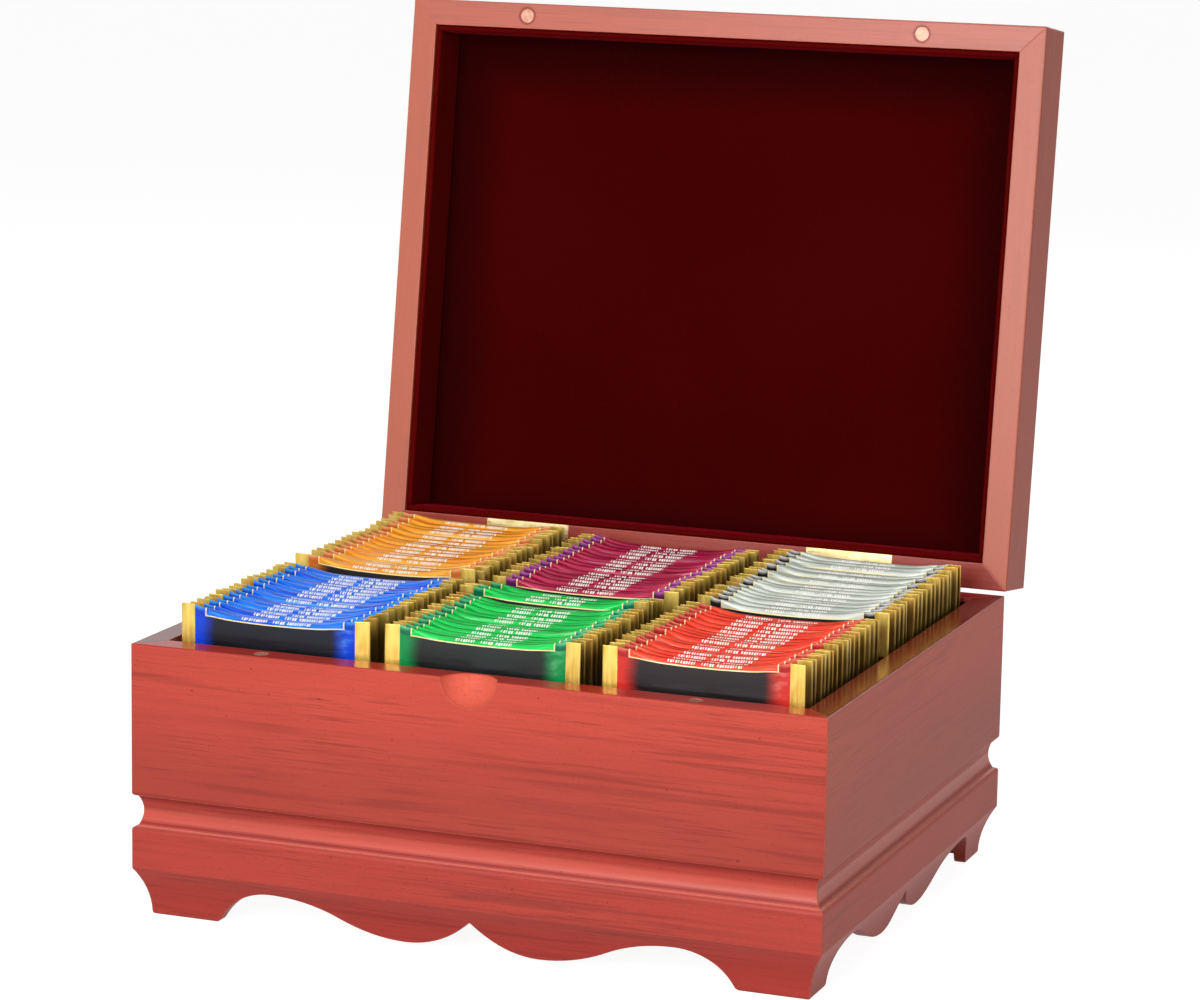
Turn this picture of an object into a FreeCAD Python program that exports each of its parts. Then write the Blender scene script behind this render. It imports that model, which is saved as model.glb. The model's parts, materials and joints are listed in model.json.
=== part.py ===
import FreeCAD, Part
import math
import os
import Sketcher

# Wooden tea box with a hinged lid, shown open, standing on a scalloped bracket base.
# Frame: origin on the floor under the middle of the four feet, X to the right,
# Y to the back (the hinge side), Z up. Lengths in millimetres, angles in degrees.

SIZES = [
    # The case
    ("box_width", 300.0, "outside width of the case"),
    ("box_depth", 247.0, "outside depth of the case"),
    ("rim_height", 115.7, "floor to the rim of the open case"),
    ("base_height", 51.2, "height of the bracket base that carries the walls"),
    ("board", 11.5, "thickness of walls, base and lid rails"),
    ("corner_round", 0.8, "rounding of the four upright corners"),
    ("rim_round", 0.8, "rounding of the outer rim edges"),
    ("lip_round", 2.2, "rounding under the lower edge of the walls"),
    ("overrun", 5.0, "how far every cut runs past the wood"),
    # The base moulding
    ("foot_inset", 6.4, "how far the feet stand in from the fascia"),
    ("foot_cove_height", 20.9, "height of the hollow curve from floor to fascia"),
    ("fascia_top", 36.5, "top of the flat fascia"),
    ("fascia_round", 2.0, "rounding of the fascia's top edge"),
    ("cove_depth", 1.8, "hollow of the cove between fascia and wall"),
    ("cusp_height", 14.9, "height of the point in the middle of each apron"),
    ("lobe_height", 2.2, "lowest point of each lobe over the floor"),
    ("cusp_round", 0.7, "rounding of the point in the middle of each apron"),
    ("toe_round", 1.4, "rounding of the feet's outer edges at the floor"),
    ("heel_round", 3.5, "rounding of the feet's inner ends at the floor"),
    ("front_lobe_at", 29.0, "lobe from the middle, front and back"),
    ("front_heel_run", 25.0, "foot to the crown of its arch, front and back"),
    ("front_arch_height", 15.6, "crown of the arch over the floor, front and back"),
    ("front_foot_width", 37.0, "corner to the inner edge of a foot, front and back"),
    ("side_lobe_at", 23.5, "lobe from the middle, sides"),
    ("side_heel_run", 19.5, "foot to the crown of its arch, sides"),
    ("side_arch_height", 17.0, "crown of the arch over the floor, sides"),
    ("side_foot_width", 26.0, "corner to the inner edge of a foot, sides"),
    # The floor and the velvet fittings
    ("floor_thickness", 4.0, "thickness of the floor panel"),
    ("floor_rise", 3.0, "wood left under the floor groove"),
    ("groove_depth", 5.0, "depth of the floor groove"),
    ("panel_fit", 0.1, "clearance round a captured panel"),
    ("floor_lining_thickness", 1.7, "velvet board on the floor"),
    ("wall_lining_thickness", 1.5, "velvet board on the walls"),
    ("lining_drop", 2.0, "velvet edge under the rim"),
    ("divider_thickness", 3.0, "velvet-covered divider"),
    ("divider_drop", 3.5, "top of the dividers under the rim"),
    ("divider_fit", 0.15, "clearance in the half-lap of the dividers"),
    # The lid
    ("lid_height", 31.2, "height of the lid"),
    ("closing_gap", 0.3, "air between the rims when the lid is shut"),
    ("lid_round", 2.0, "rounding of the lid's outer top edges"),
    ("lid_panel_thickness", 5.0, "thickness of the lid's top panel"),
    ("rebate", 6.0, "width of the rebate that holds the top panel"),
    ("lid_lining_thickness", 2.5, "padded velvet strip inside the lid rails"),
    ("lid_ceiling_thickness", 2.2, "padded velvet panel under the top panel"),
    ("lid_lining_drop", 1.0, "velvet strips behind the lid's rim"),
    # The finger scoop and the magnets
    ("scoop_width", 24.4, "width of the finger scoop at the rim"),
    ("scoop_bite", 10.5, "how far the scoop bites into the rim"),
    ("scoop_rise", 0.1, "centre of the scoop over the rim"),
    ("magnet_diameter", 6.2, "disc magnets in both rims"),
    ("magnet_thickness", 3.0, "thickness of a magnet"),
    ("magnet_from_end", 56.4, "magnets from the sides of the case"),
    ("magnet_sink", 0.2, "magnet face under the wood"),
    ("magnet_fit", 0.05, "clearance of a magnet in its bore"),
    # The hinges
    ("hinge_length", 40.0, "length of a hinge"),
    ("hinge_from_end", 73.0, "middle of a hinge from the side of the case"),
    ("leaf_thickness", 1.0, "thickness of a hinge leaf"),
    ("leaf_sink", 0.1, "leaf face under the wood"),
    ("leaf_fit", 0.15, "clearance of a leaf in its mortise"),
    ("knuckle_diameter", 4.0, "outside of the hinge barrel"),
    ("knuckle_gap", 0.1, "running gap at each end of a knuckle"),
    ("barrel_relief", 0.3, "air between barrel and wood"),
    ("pin_diameter", 1.8, "hinge pin"),
    ("pin_clearance", 0.04, "radial running clearance of the pin"),
    ("pin_head", 0.6, "domed end of the pin past the barrel"),
    ("pin_offset", 1.2, "pin behind the back of the case"),
    ("screw_at", 12.0, "hinge screws from the middle of the hinge"),
    ("screw_length", 8.0, "length of a hinge screw"),
    ("screw_diameter", 2.0, "shank of a hinge screw"),
    ("screw_head", 4.0, "countersunk head of a hinge screw"),
    ("screw_fit", 0.05, "radial clearance of a screw in its hole"),
    # The tea sachets
    ("sachet_play", 4.9, "side play of a sachet in its compartment"),
    ("sachet_height", 69.8, "height of a sachet"),
    ("sachet_air", 0.8, "air between two rear sachets"),
    ("seal_width", 6.2, "width of a crimped end"),
    ("seal_thickness", 1.0, "thickness of a crimped end"),
    ("shoulder_width", 16.0, "slope between a crimped end and the full belly"),
    ("front_stack_lead", 2.0, "front lining to the first front sachet"),
    ("front_stack_rest", 4.3, "last front sachet to the long divider"),
    ("rear_stack_lead", 0.5, "long divider to the first rear sachet"),
    ("rear_stack_rest", 1.2, "last rear sachet to the back lining"),
    ("left_stack_shift", -1.0, "left stacks off the middle of their compartment"),
    ("middle_stack_shift", -1.4, "middle stacks off the middle of their compartment"),
    ("right_stack_shift", 0.2, "right stacks off the middle of their compartment"),
]
LID_OPENING_ANGLE = 98.0
SACHETS_PER_STACK = 17
KNUCKLES = 5
DIAGONAL_SHARE = 1.0 - 0.5 ** 0.5

doc = FreeCAD.newDocument("TeaBox")
sheet = doc.addObject("Spreadsheet::Sheet", "Sizes")


class Size:
    """A length together with the sheet formula that it comes from."""

    def __init__(self, value, formula):
        self.value = float(value)
        self.formula = formula

    def __add__(self, other):
        other = as_size(other)
        return Size(self.value + other.value, "(%s + %s)" % (self.formula, other.formula))

    def __sub__(self, other):
        other = as_size(other)
        return Size(self.value - other.value, "(%s - %s)" % (self.formula, other.formula))

    def __mul__(self, other):
        other = as_size(other)
        return Size(self.value * other.value, "(%s * %s)" % (self.formula, other.formula))

    def __truediv__(self, other):
        other = as_size(other)
        return Size(self.value / other.value, "(%s / %s)" % (self.formula, other.formula))

    def __neg__(self):
        return Size(-self.value, "(0 - %s)" % self.formula)

    def root(self):
        return Size(self.value ** 0.5, "sqrt(%s)" % self.formula)


def as_size(number):
    """A Size as it is, or a plain factor as a Size."""
    return number if isinstance(number, Size) else Size(number, repr(float(number)))


def fill_sheet():
    """Write every size into the sheet and return the sizes by name."""
    named = {}
    for row, (alias, value, meaning) in enumerate(SIZES, start=1):
        sheet.set("A%d" % row, alias)
        sheet.set("B%d" % row, repr(value))
        sheet.set("C%d" % row, meaning)
        sheet.setAlias("B%d" % row, alias)
        named[alias] = Size(value, "Sizes.%s" % alias)
    doc.recompute()
    return named


S = fill_sheet()
ZERO = Size(0.0, "0")
HALF_WIDTH = S["box_width"] / 2
HALF_DEPTH = S["box_depth"] / 2
PIN_Y = HALF_DEPTH + S["pin_offset"]
PIN_Z = S["rim_height"] + S["closing_gap"] / 2
MAGNET_Y = S["board"] / 2
FLOOR_TOP = S["base_height"] + S["floor_rise"] + S["panel_fit"] + S["floor_thickness"]
LINED_FLOOR = FLOOR_TOP + S["floor_lining_thickness"]
INNER_HALF_WIDTH = HALF_WIDTH - S["board"]
INNER_HALF_DEPTH = HALF_DEPTH - S["board"]
LINED_HALF_WIDTH = INNER_HALF_WIDTH - S["panel_fit"] - S["wall_lining_thickness"]
LINED_HALF_DEPTH = INNER_HALF_DEPTH - S["panel_fit"] - S["wall_lining_thickness"]
COMPARTMENT_WIDTH = (LINED_HALF_WIDTH * 2 - S["divider_thickness"] * 2) / 3
COMPARTMENT_DEPTH = LINED_HALF_DEPTH - S["divider_thickness"] / 2
SACHET_WIDTH = COMPARTMENT_WIDTH - S["sachet_play"]
REAR_ROOM = COMPARTMENT_DEPTH - S["rear_stack_lead"] - S["rear_stack_rest"]
REAR_PITCH = (REAR_ROOM + S["sachet_air"]) / SACHETS_PER_STACK
SACHET_BELLY = REAR_PITCH - S["sachet_air"]
FRONT_ROOM = COMPARTMENT_DEPTH - S["front_stack_lead"] - S["front_stack_rest"]
FRONT_PITCH = (FRONT_ROOM - SACHET_BELLY) / (SACHETS_PER_STACK - 1)
MAGNET_X = HALF_WIDTH - S["magnet_from_end"]
HINGE_X = HALF_WIDTH - S["hinge_from_end"]
# Heights in the lid are counted from the hinge pin, with the lid shut.
LID_RIM = S["closing_gap"] / 2
LID_TOP = LID_RIM + S["lid_height"]
LID_CEILING = LID_TOP - S["lid_panel_thickness"] - S["lid_ceiling_thickness"]
KNUCKLE_RADIUS = S["knuckle_diameter"] / 2
KNUCKLE_LENGTH = S["hinge_length"] / KNUCKLES
SIDE_ANGLES = {"front": 0.0, "right": 90.0, "back": 180.0, "left": 270.0}
nodes = {}


# Placing

def turned(angle):
    """A placement turned about the upright axis through the middle of the box."""
    return FreeCAD.Placement(FreeCAD.Vector(), FreeCAD.Rotation(FreeCAD.Vector(0, 0, 1), angle))


def at_pin(opening=0.0):
    """The frame of the hinge pin, opened by an angle."""
    turn = FreeCAD.Rotation(FreeCAD.Vector(1, 0, 0), -opening)
    return FreeCAD.Placement(FreeCAD.Vector(0, PIN_Y.value, PIN_Z.value), turn)


def in_lid(placement):
    """A placement given in the shut lid, its height counted from the pin, moved to the open lid."""
    back = FreeCAD.Placement(FreeCAD.Vector(0, -PIN_Y.value, 0), FreeCAD.Rotation())
    return at_pin(LID_OPENING_ANGLE) * back * placement


# Sketches and features

def new_body(name):
    body = doc.addObject("PartDesign::Body", name)
    body.Label = name
    nodes[name] = body
    return body


def new_sketch(body, plane, name, offset=None):
    """A sketch on one of the body's own origin planes, moved along the plane's normal by an offset."""
    sketch = body.newObject("Sketcher::SketchObject", name)
    face = next(f for f in body.Origin.OriginFeatures if f.Role == plane)
    sketch.AttachmentSupport = (face, [""])
    sketch.MapMode = "FlatFace"
    if offset is not None:
        sketch.setExpression("AttachmentOffset.Base.z", offset.formula)
    return sketch


def pin_point(sketch, geometry, point, x, y):
    """Tie one point of a sketch to the sheet."""
    for kind, size in (("DistanceX", x), ("DistanceY", y)):
        index = sketch.addConstraint(Sketcher.Constraint(kind, -1, 1, geometry, point, size.value))
        sketch.setExpression("Constraints[%d]" % index, size.formula)


def arc_between(start, end, radius, turn):
    """The arc of a radius from start to end, its centre to the left (turn 1) or right (turn -1)."""
    a = FreeCAD.Vector(start[0].value, start[1].value, 0)
    b = FreeCAD.Vector(end[0].value, end[1].value, 0)
    chord = b - a
    reach = max(radius.value ** 2 - chord.Length ** 2 / 4, 0.0) ** 0.5
    across = FreeCAD.Vector(-chord.y, chord.x, 0) / chord.Length * turn
    centre = (a + b) / 2 + across * reach
    first, last = (a, b) if turn > 0 else (b, a)
    circle = Part.Circle(centre, FreeCAD.Vector(0, 0, 1), radius.value)
    low = circle.parameter(first)
    high = circle.parameter(last)
    return Part.ArcOfCircle(circle, low, high if high > low else high + 2 * math.pi)


def add_outline(sketch, steps):
    """A closed outline. A step is (x, y) for a line to that point, or (x, y, radius, turn) for an arc."""
    first = None
    previous = None
    for index, step in enumerate(steps):
        start = steps[index - 1]
        if len(step) == 2:
            line = Part.LineSegment(
                FreeCAD.Vector(start[0].value, start[1].value, 0),
                FreeCAD.Vector(step[0].value, step[1].value, 0),
            )
            geometry = sketch.addGeometry(line)
            begin, finish = 1, 2
        else:
            geometry = sketch.addGeometry(arc_between(start, step, step[2], step[3]))
            begin, finish = (1, 2) if step[3] > 0 else (2, 1)
            radius = sketch.addConstraint(Sketcher.Constraint("Radius", geometry, step[2].value))
            sketch.setExpression("Constraints[%d]" % radius, step[2].formula)
        pin_point(sketch, geometry, finish, step[0], step[1])
        if previous is not None:
            sketch.addConstraint(Sketcher.Constraint("Coincident", previous[0], previous[1], geometry, begin))
        else:
            first = (geometry, begin)
        previous = (geometry, finish)
    sketch.addConstraint(Sketcher.Constraint("Coincident", previous[0], previous[1], first[0], first[1]))


def add_circle(sketch, x, y, radius):
    circle = Part.Circle(FreeCAD.Vector(x.value, y.value, 0), FreeCAD.Vector(0, 0, 1), radius.value)
    geometry = sketch.addGeometry(circle)
    pin_point(sketch, geometry, 3, x, y)
    index = sketch.addConstraint(Sketcher.Constraint("Radius", geometry, radius.value))
    sketch.setExpression("Constraints[%d]" % index, radius.formula)


def rectangle(x_low, x_high, y_low, y_high):
    return [(x_low, y_low), (x_high, y_low), (x_high, y_high), (x_low, y_high)]


def pad(body, sketch, length, symmetric=False, downwards=False):
    feature = body.newObject("PartDesign::Pad", sketch.Name + "_pad")
    feature.Profile = sketch
    feature.SideType = "Symmetric" if symmetric else "One side"
    feature.Reversed = downwards
    feature.setExpression("Length", length.formula)
    sketch.Visibility = False
    return feature


def cut(body, sketch, length=None, upwards=False):
    """Cut a sketch through everything, or to a depth below its plane."""
    feature = body.newObject("PartDesign::Pocket", sketch.Name + "_cut")
    feature.Profile = sketch
    if length is None:
        feature.Type = "ThroughAll"
        feature.SideType = "Symmetric"
    else:
        feature.Type = "Length"
        feature.Reversed = upwards
        feature.setExpression("Length", length.formula)
    sketch.Visibility = False
    return feature


def board_body(name, width, depth, height, low, placement=None, x=ZERO, y=ZERO):
    """A flat board, centred on x and y, that stands on the height low."""
    body = new_body(name)
    sketch = new_sketch(body, "XY_Plane", name + "_outline", low)
    add_outline(sketch, rectangle(x - width / 2, x + width / 2, y - depth / 2, y + depth / 2))
    pad(body, sketch, height)
    if placement is not None:
        body.Placement = placement
    return body


# Mitred frames: the walls, the base mouldings and the lid rails all run round the same corners

def mitre(body, name, half_length, face):
    """Cut both ends at 45 degrees, with the upright corner rounded."""
    r = S["corner_round"]
    k = r * DIAGONAL_SHARE
    inner = half_length - S["board"]
    outer_y = -face
    inner_y = -face + S["board"]
    far = half_length + S["overrun"]
    sketch = new_sketch(body, "XY_Plane", name + "_mitre")
    add_outline(sketch, rectangle(-far, far, outer_y - S["overrun"], inner_y + S["overrun"]))
    add_outline(sketch, [
        (half_length - r, outer_y),
        (half_length - k, outer_y + k, r, 1),
        (inner, inner_y),
        (-inner, inner_y),
        (-half_length + k, outer_y + k),
        (-half_length + r, outer_y, r, 1),
    ])
    cut(body, sketch)


def frame_side(name, side, profile, placement=None):
    """One side of a frame: its section padded along the side and mitred. The outer face looks to -Y."""
    half_length, face = (HALF_WIDTH, HALF_DEPTH) if side in ("front", "back") else (HALF_DEPTH, HALF_WIDTH)
    body = new_body(name)
    sketch = new_sketch(body, "YZ_Plane", name + "_section")
    add_outline(sketch, profile(face))
    pad(body, sketch, half_length * 2, symmetric=True)
    mitre(body, name, half_length, face)
    body.Placement = placement or turned(SIDE_ANGLES[side])
    return body


def wall_section(face):
    """Wall board with the groove for the floor, a rounded lower lip and an eased rim."""
    low = S["base_height"]
    groove_low = low + S["floor_rise"]
    groove_high = groove_low + S["floor_thickness"] + S["panel_fit"] * 2
    inner = -face + S["board"]
    lip = S["lip_round"]
    ease = S["rim_round"]
    return [
        (inner, low),
        (inner, groove_low),
        (inner - S["groove_depth"], groove_low),
        (inner - S["groove_depth"], groove_high),
        (inner, groove_high),
        (inner, S["rim_height"]),
        (-face + ease, S["rim_height"]),
        (-face, S["rim_height"] - ease, ease, 1),
        (-face, low + lip),
        (-face + lip, low, lip, 1),
    ]


def base_section(face):
    """Base moulding: hollow foot, flat fascia with a rounded top, cove under the wall."""
    inset = S["foot_inset"]
    high = S["foot_cove_height"]
    foot_radius = (inset * inset + high * high) / (inset * 2)
    toe = S["toe_round"]
    toe_run = (foot_radius * foot_radius + foot_radius * toe * 2).root()
    share = foot_radius / (foot_radius + toe)
    hollow_centre = -face + inset - foot_radius
    ease = S["fascia_round"]
    cove_low = S["fascia_top"] + ease
    half_cove = (S["base_height"] - cove_low) / 2
    hollow = S["cove_depth"]
    cove_radius = (half_cove * half_cove + hollow * hollow) / (hollow * 2)
    return [
        (-face + S["board"], ZERO),
        (-face + S["board"], S["base_height"]),
        (-face + S["lip_round"], S["base_height"]),
        (-face + ease, cove_low, cove_radius, -1),
        (-face, S["fascia_top"], ease, 1),
        (-face, high),
        (hollow_centre + toe_run * share, toe * share, foot_radius, -1),
        (hollow_centre + toe_run, ZERO, toe, 1),
    ]


def apron_outline(half_length, kind):
    """The air under a scalloped apron: foot, arch, lobe, cusp in the middle, and the same again."""
    foot_at = half_length - S[kind + "_foot_width"]
    heel = S[kind + "_heel_run"]
    arch_at = foot_at - heel
    arch_height = S[kind + "_arch_height"]
    lobe_at = S[kind + "_lobe_at"]
    cusp = S["cusp_height"]
    lobe = S["lobe_height"]
    drop = cusp - lobe
    lobe_radius = (lobe_at * lobe_at + drop * drop) / (drop * 2)
    run = arch_at - lobe_at
    rise = arch_height - lobe
    wave_radius = (run * run + rise * rise) / (rise * 4)
    heel_radius = (heel * heel + arch_height * arch_height) / (arch_height * 2)
    middle = (lobe_at + arch_at) / 2
    turn_height = (lobe + arch_height) / 2
    below = -S["overrun"]
    # The rounded inner end of a foot touches the floor and the arc of the arch.
    heel_round = S["heel_round"]
    reach = heel_radius + heel_round
    depth = reach - arch_height
    run_out = (reach * reach - depth * depth).root()
    share = heel_radius / reach
    end_x = arch_at + run_out * share
    end_height = arch_height - heel_radius + depth * share
    contact = arch_at + run_out
    # The rounded point touches the arcs of both lobes.
    span = lobe_radius + S["cusp_round"]
    fall = (span * span - lobe_at * lobe_at).root()
    share = lobe_radius / span
    point_x = lobe_at - lobe_at * share
    point_height = lobe + lobe_radius - fall * share
    return [
        (-contact, below),
        (contact, below),
        (contact, ZERO),
        (end_x, end_height, heel_round, -1),
        (arch_at, arch_height, heel_radius, 1),
        (middle, turn_height, wave_radius, 1),
        (lobe_at, lobe, wave_radius, -1),
        (point_x, point_height, lobe_radius, -1),
        (-point_x, point_height, S["cusp_round"], 1),
        (-lobe_at, lobe, lobe_radius, -1),
        (-middle, turn_height, wave_radius, -1),
        (-arch_at, arch_height, wave_radius, 1),
        (-end_x, end_height, heel_radius, 1),
        (-contact, ZERO, heel_round, -1),
    ]


def base_moulding(side):
    name = "%s_base_moulding" % side
    body = frame_side(name, side, base_section)
    sketch = new_sketch(body, "XZ_Plane", name + "_apron")
    if side in ("front", "back"):
        add_outline(sketch, apron_outline(HALF_WIDTH, "front"))
    else:
        add_outline(sketch, apron_outline(HALF_DEPTH, "side"))
    cut(body, sketch)


def lid_section(face):
    """Lid rail, shut: eased rim below, rebate for the top panel, rounded outer top edge."""
    ease = S["rim_round"]
    dome = S["lid_round"]
    shoulder = LID_TOP - S["lid_panel_thickness"]
    inner = -face + S["board"]
    return [
        (inner, LID_RIM),
        (inner, shoulder),
        (inner - S["rebate"], shoulder),
        (inner - S["rebate"], LID_TOP),
        (-face + dome, LID_TOP),
        (-face, LID_TOP - dome, dome, 1),
        (-face, LID_RIM + ease),
        (-face + ease, LID_RIM, ease, 1),
    ]


# The case

def magnet_bores(body, name, rim, upwards):
    """Two blind bores for the disc magnets in a front rim."""
    sketch = new_sketch(body, "XY_Plane", name + "_magnet_bores", rim)
    for side in (-1, 1):
        radius = S["magnet_diameter"] / 2 + S["magnet_fit"]
        add_circle(sketch, MAGNET_X * side, -HALF_DEPTH + MAGNET_Y, radius)
    cut(body, sketch, S["magnet_thickness"] + S["magnet_sink"], upwards)


def finger_scoop(body):
    """A shallow dish out of the outer rim edge: a ball whose cap shows on the front face."""
    half = S["scoop_width"] / 2
    bite = S["scoop_bite"]
    radius = (half * half + bite * bite) / (bite * 2)
    ball = body.newObject("PartDesign::SubtractiveSphere", "finger_scoop")
    ball.setExpression("Radius", radius.formula)
    ball.setExpression("AttachmentOffset.Base.y", (bite - HALF_DEPTH - radius).formula)
    ball.setExpression("AttachmentOffset.Base.z", (S["rim_height"] + S["scoop_rise"]).formula)
    plane = next(f for f in body.Origin.OriginFeatures if f.Role == "XY_Plane")
    ball.AttachmentSupport = (plane, [""])
    ball.MapMode = "FlatFace"


def hinge_mortises(body, name, rim, upwards):
    """Beds for the hinge leaves, room for the barrels and holes for the screws, in a back rim."""
    half = S["hinge_length"] / 2 + S["leaf_fit"]
    bed_depth = S["leaf_thickness"] + S["leaf_sink"]
    beds = new_sketch(body, "XY_Plane", name + "_leaf_beds", rim)
    holes = new_sketch(body, "XY_Plane", name + "_screw_holes", rim)
    for side in (-1, 1):
        x = HINGE_X * side
        y = -HALF_DEPTH
        add_outline(beds, rectangle(x - half, x + half, y - S["overrun"], y + S["board"] + S["overrun"]))
        for end in (-1, 1):
            radius = S["screw_diameter"] / 2 + S["screw_fit"]
            add_circle(holes, x + S["screw_at"] * end, y + S["board"] / 2, radius)
    cut(body, beds, bed_depth, upwards)
    cut(body, holes, bed_depth + S["screw_length"], upwards)
    for label, side in (("left", -1), ("right", 1)):
        relief = new_sketch(body, "YZ_Plane", "%s_%s_barrel" % (name, label), HINGE_X * side)
        pin_height = rim + S["closing_gap"] / 2 * (-1 if upwards else 1)
        add_circle(relief, -PIN_Y, pin_height, KNUCKLE_RADIUS + S["barrel_relief"])
        feature = cut(body, relief, half * 2)
        feature.SideType = "Symmetric"


def walls():
    for side in SIDE_ANGLES:
        name = "%s_wall" % side
        body = frame_side(name, side, wall_section)
        if side == "front":
            magnet_bores(body, name, S["rim_height"], upwards=False)
            finger_scoop(body)
        if side == "back":
            hinge_mortises(body, name, S["rim_height"], upwards=False)


def base():
    for side in SIDE_ANGLES:
        base_moulding(side)


def floor():
    reach = (S["groove_depth"] - S["panel_fit"]) * 2
    low = S["base_height"] + S["floor_rise"] + S["panel_fit"]
    board_body(
        "floor_panel", INNER_HALF_WIDTH * 2 + reach, INNER_HALF_DEPTH * 2 + reach,
        S["floor_thickness"], low,
    )


# The velvet fittings of the case

def case_linings():
    fit = S["panel_fit"] * 2
    width = INNER_HALF_WIDTH * 2 - fit
    depth = INNER_HALF_DEPTH * 2 - fit
    skin = S["wall_lining_thickness"]
    height = S["rim_height"] - S["lining_drop"] - LINED_FLOOR
    board_body("floor_lining", width, depth, S["floor_lining_thickness"], FLOOR_TOP)
    for name, side in (("front_lining", -1), ("back_lining", 1)):
        board_body(name, width, skin, height, LINED_FLOOR, y=(depth - skin) / 2 * side)
    for name, side in (("left_lining", -1), ("right_lining", 1)):
        board_body(name, skin, depth - skin * 2, height, LINED_FLOOR, x=(width - skin) / 2 * side)


def column_x(column):
    """Middle of a compartment: column -1, 0 or 1."""
    return (COMPARTMENT_WIDTH + S["divider_thickness"]) * column


def dividers():
    """One long divider slotted from above and two cross dividers slotted from below."""
    width = (LINED_HALF_WIDTH - S["divider_fit"]) * 2
    depth = (LINED_HALF_DEPTH - S["divider_fit"]) * 2
    thick = S["divider_thickness"]
    height = S["rim_height"] - S["divider_drop"] - LINED_FLOOR
    slot = thick / 2 + S["divider_fit"]
    top = LINED_FLOOR + height
    middle = LINED_FLOOR + height / 2
    body = board_body("long_divider", width, thick, height, LINED_FLOOR)
    sketch = new_sketch(body, "XZ_Plane", "long_divider_slots")
    for side in (-1, 1):
        x = column_x(side * 0.5)
        add_outline(sketch, rectangle(x - slot, x + slot, middle, top + S["overrun"]))
    cut(body, sketch)
    for name, side in (("left_divider", -1), ("right_divider", 1)):
        body = board_body(name, thick, depth, height, LINED_FLOOR, x=column_x(side * 0.5))
        sketch = new_sketch(body, "YZ_Plane", name + "_slot")
        bottom = LINED_FLOOR - S["overrun"]
        add_outline(sketch, rectangle(-slot, slot, bottom, middle + S["divider_fit"]))
        cut(body, sketch)


# The lid, drawn shut and then opened about the pin

def lid():
    for side in SIDE_ANGLES:
        name = "lid_%s_rail" % side
        body = frame_side(name, side, lid_section, in_lid(turned(SIDE_ANGLES[side])))
        if side == "front":
            magnet_bores(body, name, LID_RIM, upwards=True)
        if side == "back":
            hinge_mortises(body, name, LID_RIM, upwards=True)
    reach = (S["rebate"] - S["panel_fit"]) * 2
    board_body(
        "lid_top_panel", INNER_HALF_WIDTH * 2 + reach, INNER_HALF_DEPTH * 2 + reach,
        S["lid_panel_thickness"], LID_TOP - S["lid_panel_thickness"], in_lid(turned(0)),
    )


def lid_linings():
    fit = S["panel_fit"] * 2
    width = INNER_HALF_WIDTH * 2 - fit
    depth = INNER_HALF_DEPTH * 2 - fit
    skin = S["lid_lining_thickness"]
    low = LID_RIM + S["lid_lining_drop"]
    height = LID_CEILING - low
    place = in_lid(turned(0))
    board_body("lid_ceiling_lining", width, depth, S["lid_ceiling_thickness"], LID_CEILING, place)
    for name, side in (("lid_front_lining", -1), ("lid_back_lining", 1)):
        board_body(name, width, skin, height, low, place, y=(depth - skin) / 2 * side)
    for name, side in (("lid_left_lining", -1), ("lid_right_lining", 1)):
        board_body(name, skin, depth - skin * 2, height, low, place, x=(width - skin) / 2 * side)


# The hinges

def leaf(name, side, carries_odd, upwards, placement):
    """A leaf plate with its knuckles. The box leaf carries knuckles 1, 3 and 5, the lid leaf 2 and 4."""
    body = new_body(name)
    x = HINGE_X * side
    half = S["hinge_length"] / 2
    sign = 1 if upwards else -1
    face = (S["closing_gap"] / 2 + S["leaf_sink"]) * sign
    outer = face + S["leaf_thickness"] * sign
    low, high = (face, outer) if upwards else (outer, face)
    front = -S["pin_offset"] - S["board"]
    plate = new_sketch(body, "YZ_Plane", name + "_plate", x)
    add_outline(plate, rectangle(front, ZERO, low, high))
    pad(body, plate, half * 2, symmetric=True)
    barrel = new_sketch(body, "YZ_Plane", name + "_barrel", x)
    add_circle(barrel, ZERO, ZERO, KNUCKLE_RADIUS)
    pad(body, barrel, half * 2, symmetric=True)
    for index in range(KNUCKLES):
        if (index % 2 == 0) == carries_odd:
            continue
        at = x + KNUCKLE_LENGTH * (index - (KNUCKLES - 1) / 2)
        gap = new_sketch(body, "YZ_Plane", "%s_gap_%d" % (name, index), at)
        reach = KNUCKLE_RADIUS + S["knuckle_gap"]
        add_outline(gap, rectangle(-reach, reach, -reach, reach))
        feature = cut(body, gap, KNUCKLE_LENGTH + S["knuckle_gap"] * 2)
        feature.SideType = "Symmetric"
    bore = new_sketch(body, "YZ_Plane", name + "_bore", x)
    add_circle(bore, ZERO, ZERO, S["pin_diameter"] / 2 + S["pin_clearance"])
    cut(body, bore)
    countersinks(body, name, x, low, front, sign)
    body.Placement = placement


def countersinks(body, name, x, low, front, sign):
    """Countersunk holes through the leaf, wide on the side that shows when the lid is open."""
    y = front + S["board"] / 2
    for index, end in enumerate((-1, 1)):
        cone = body.newObject("PartDesign::SubtractiveCone", "%s_countersink_%d" % (name, index))
        wide = S["screw_head"] / 2 + S["screw_fit"]
        narrow = S["screw_diameter"] / 2 + S["screw_fit"]
        plane = next(f for f in body.Origin.OriginFeatures if f.Role == "XY_Plane")
        cone.AttachmentSupport = (plane, [""])
        cone.MapMode = "FlatFace"
        cone.setExpression("Radius1", (wide if sign > 0 else narrow).formula)
        cone.setExpression("Radius2", (narrow if sign > 0 else wide).formula)
        cone.setExpression("Height", S["leaf_thickness"].formula)
        cone.setExpression("AttachmentOffset.Base.x", (x + S["screw_at"] * end).formula)
        cone.setExpression("AttachmentOffset.Base.y", y.formula)
        cone.setExpression("AttachmentOffset.Base.z", low.formula)


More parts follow.
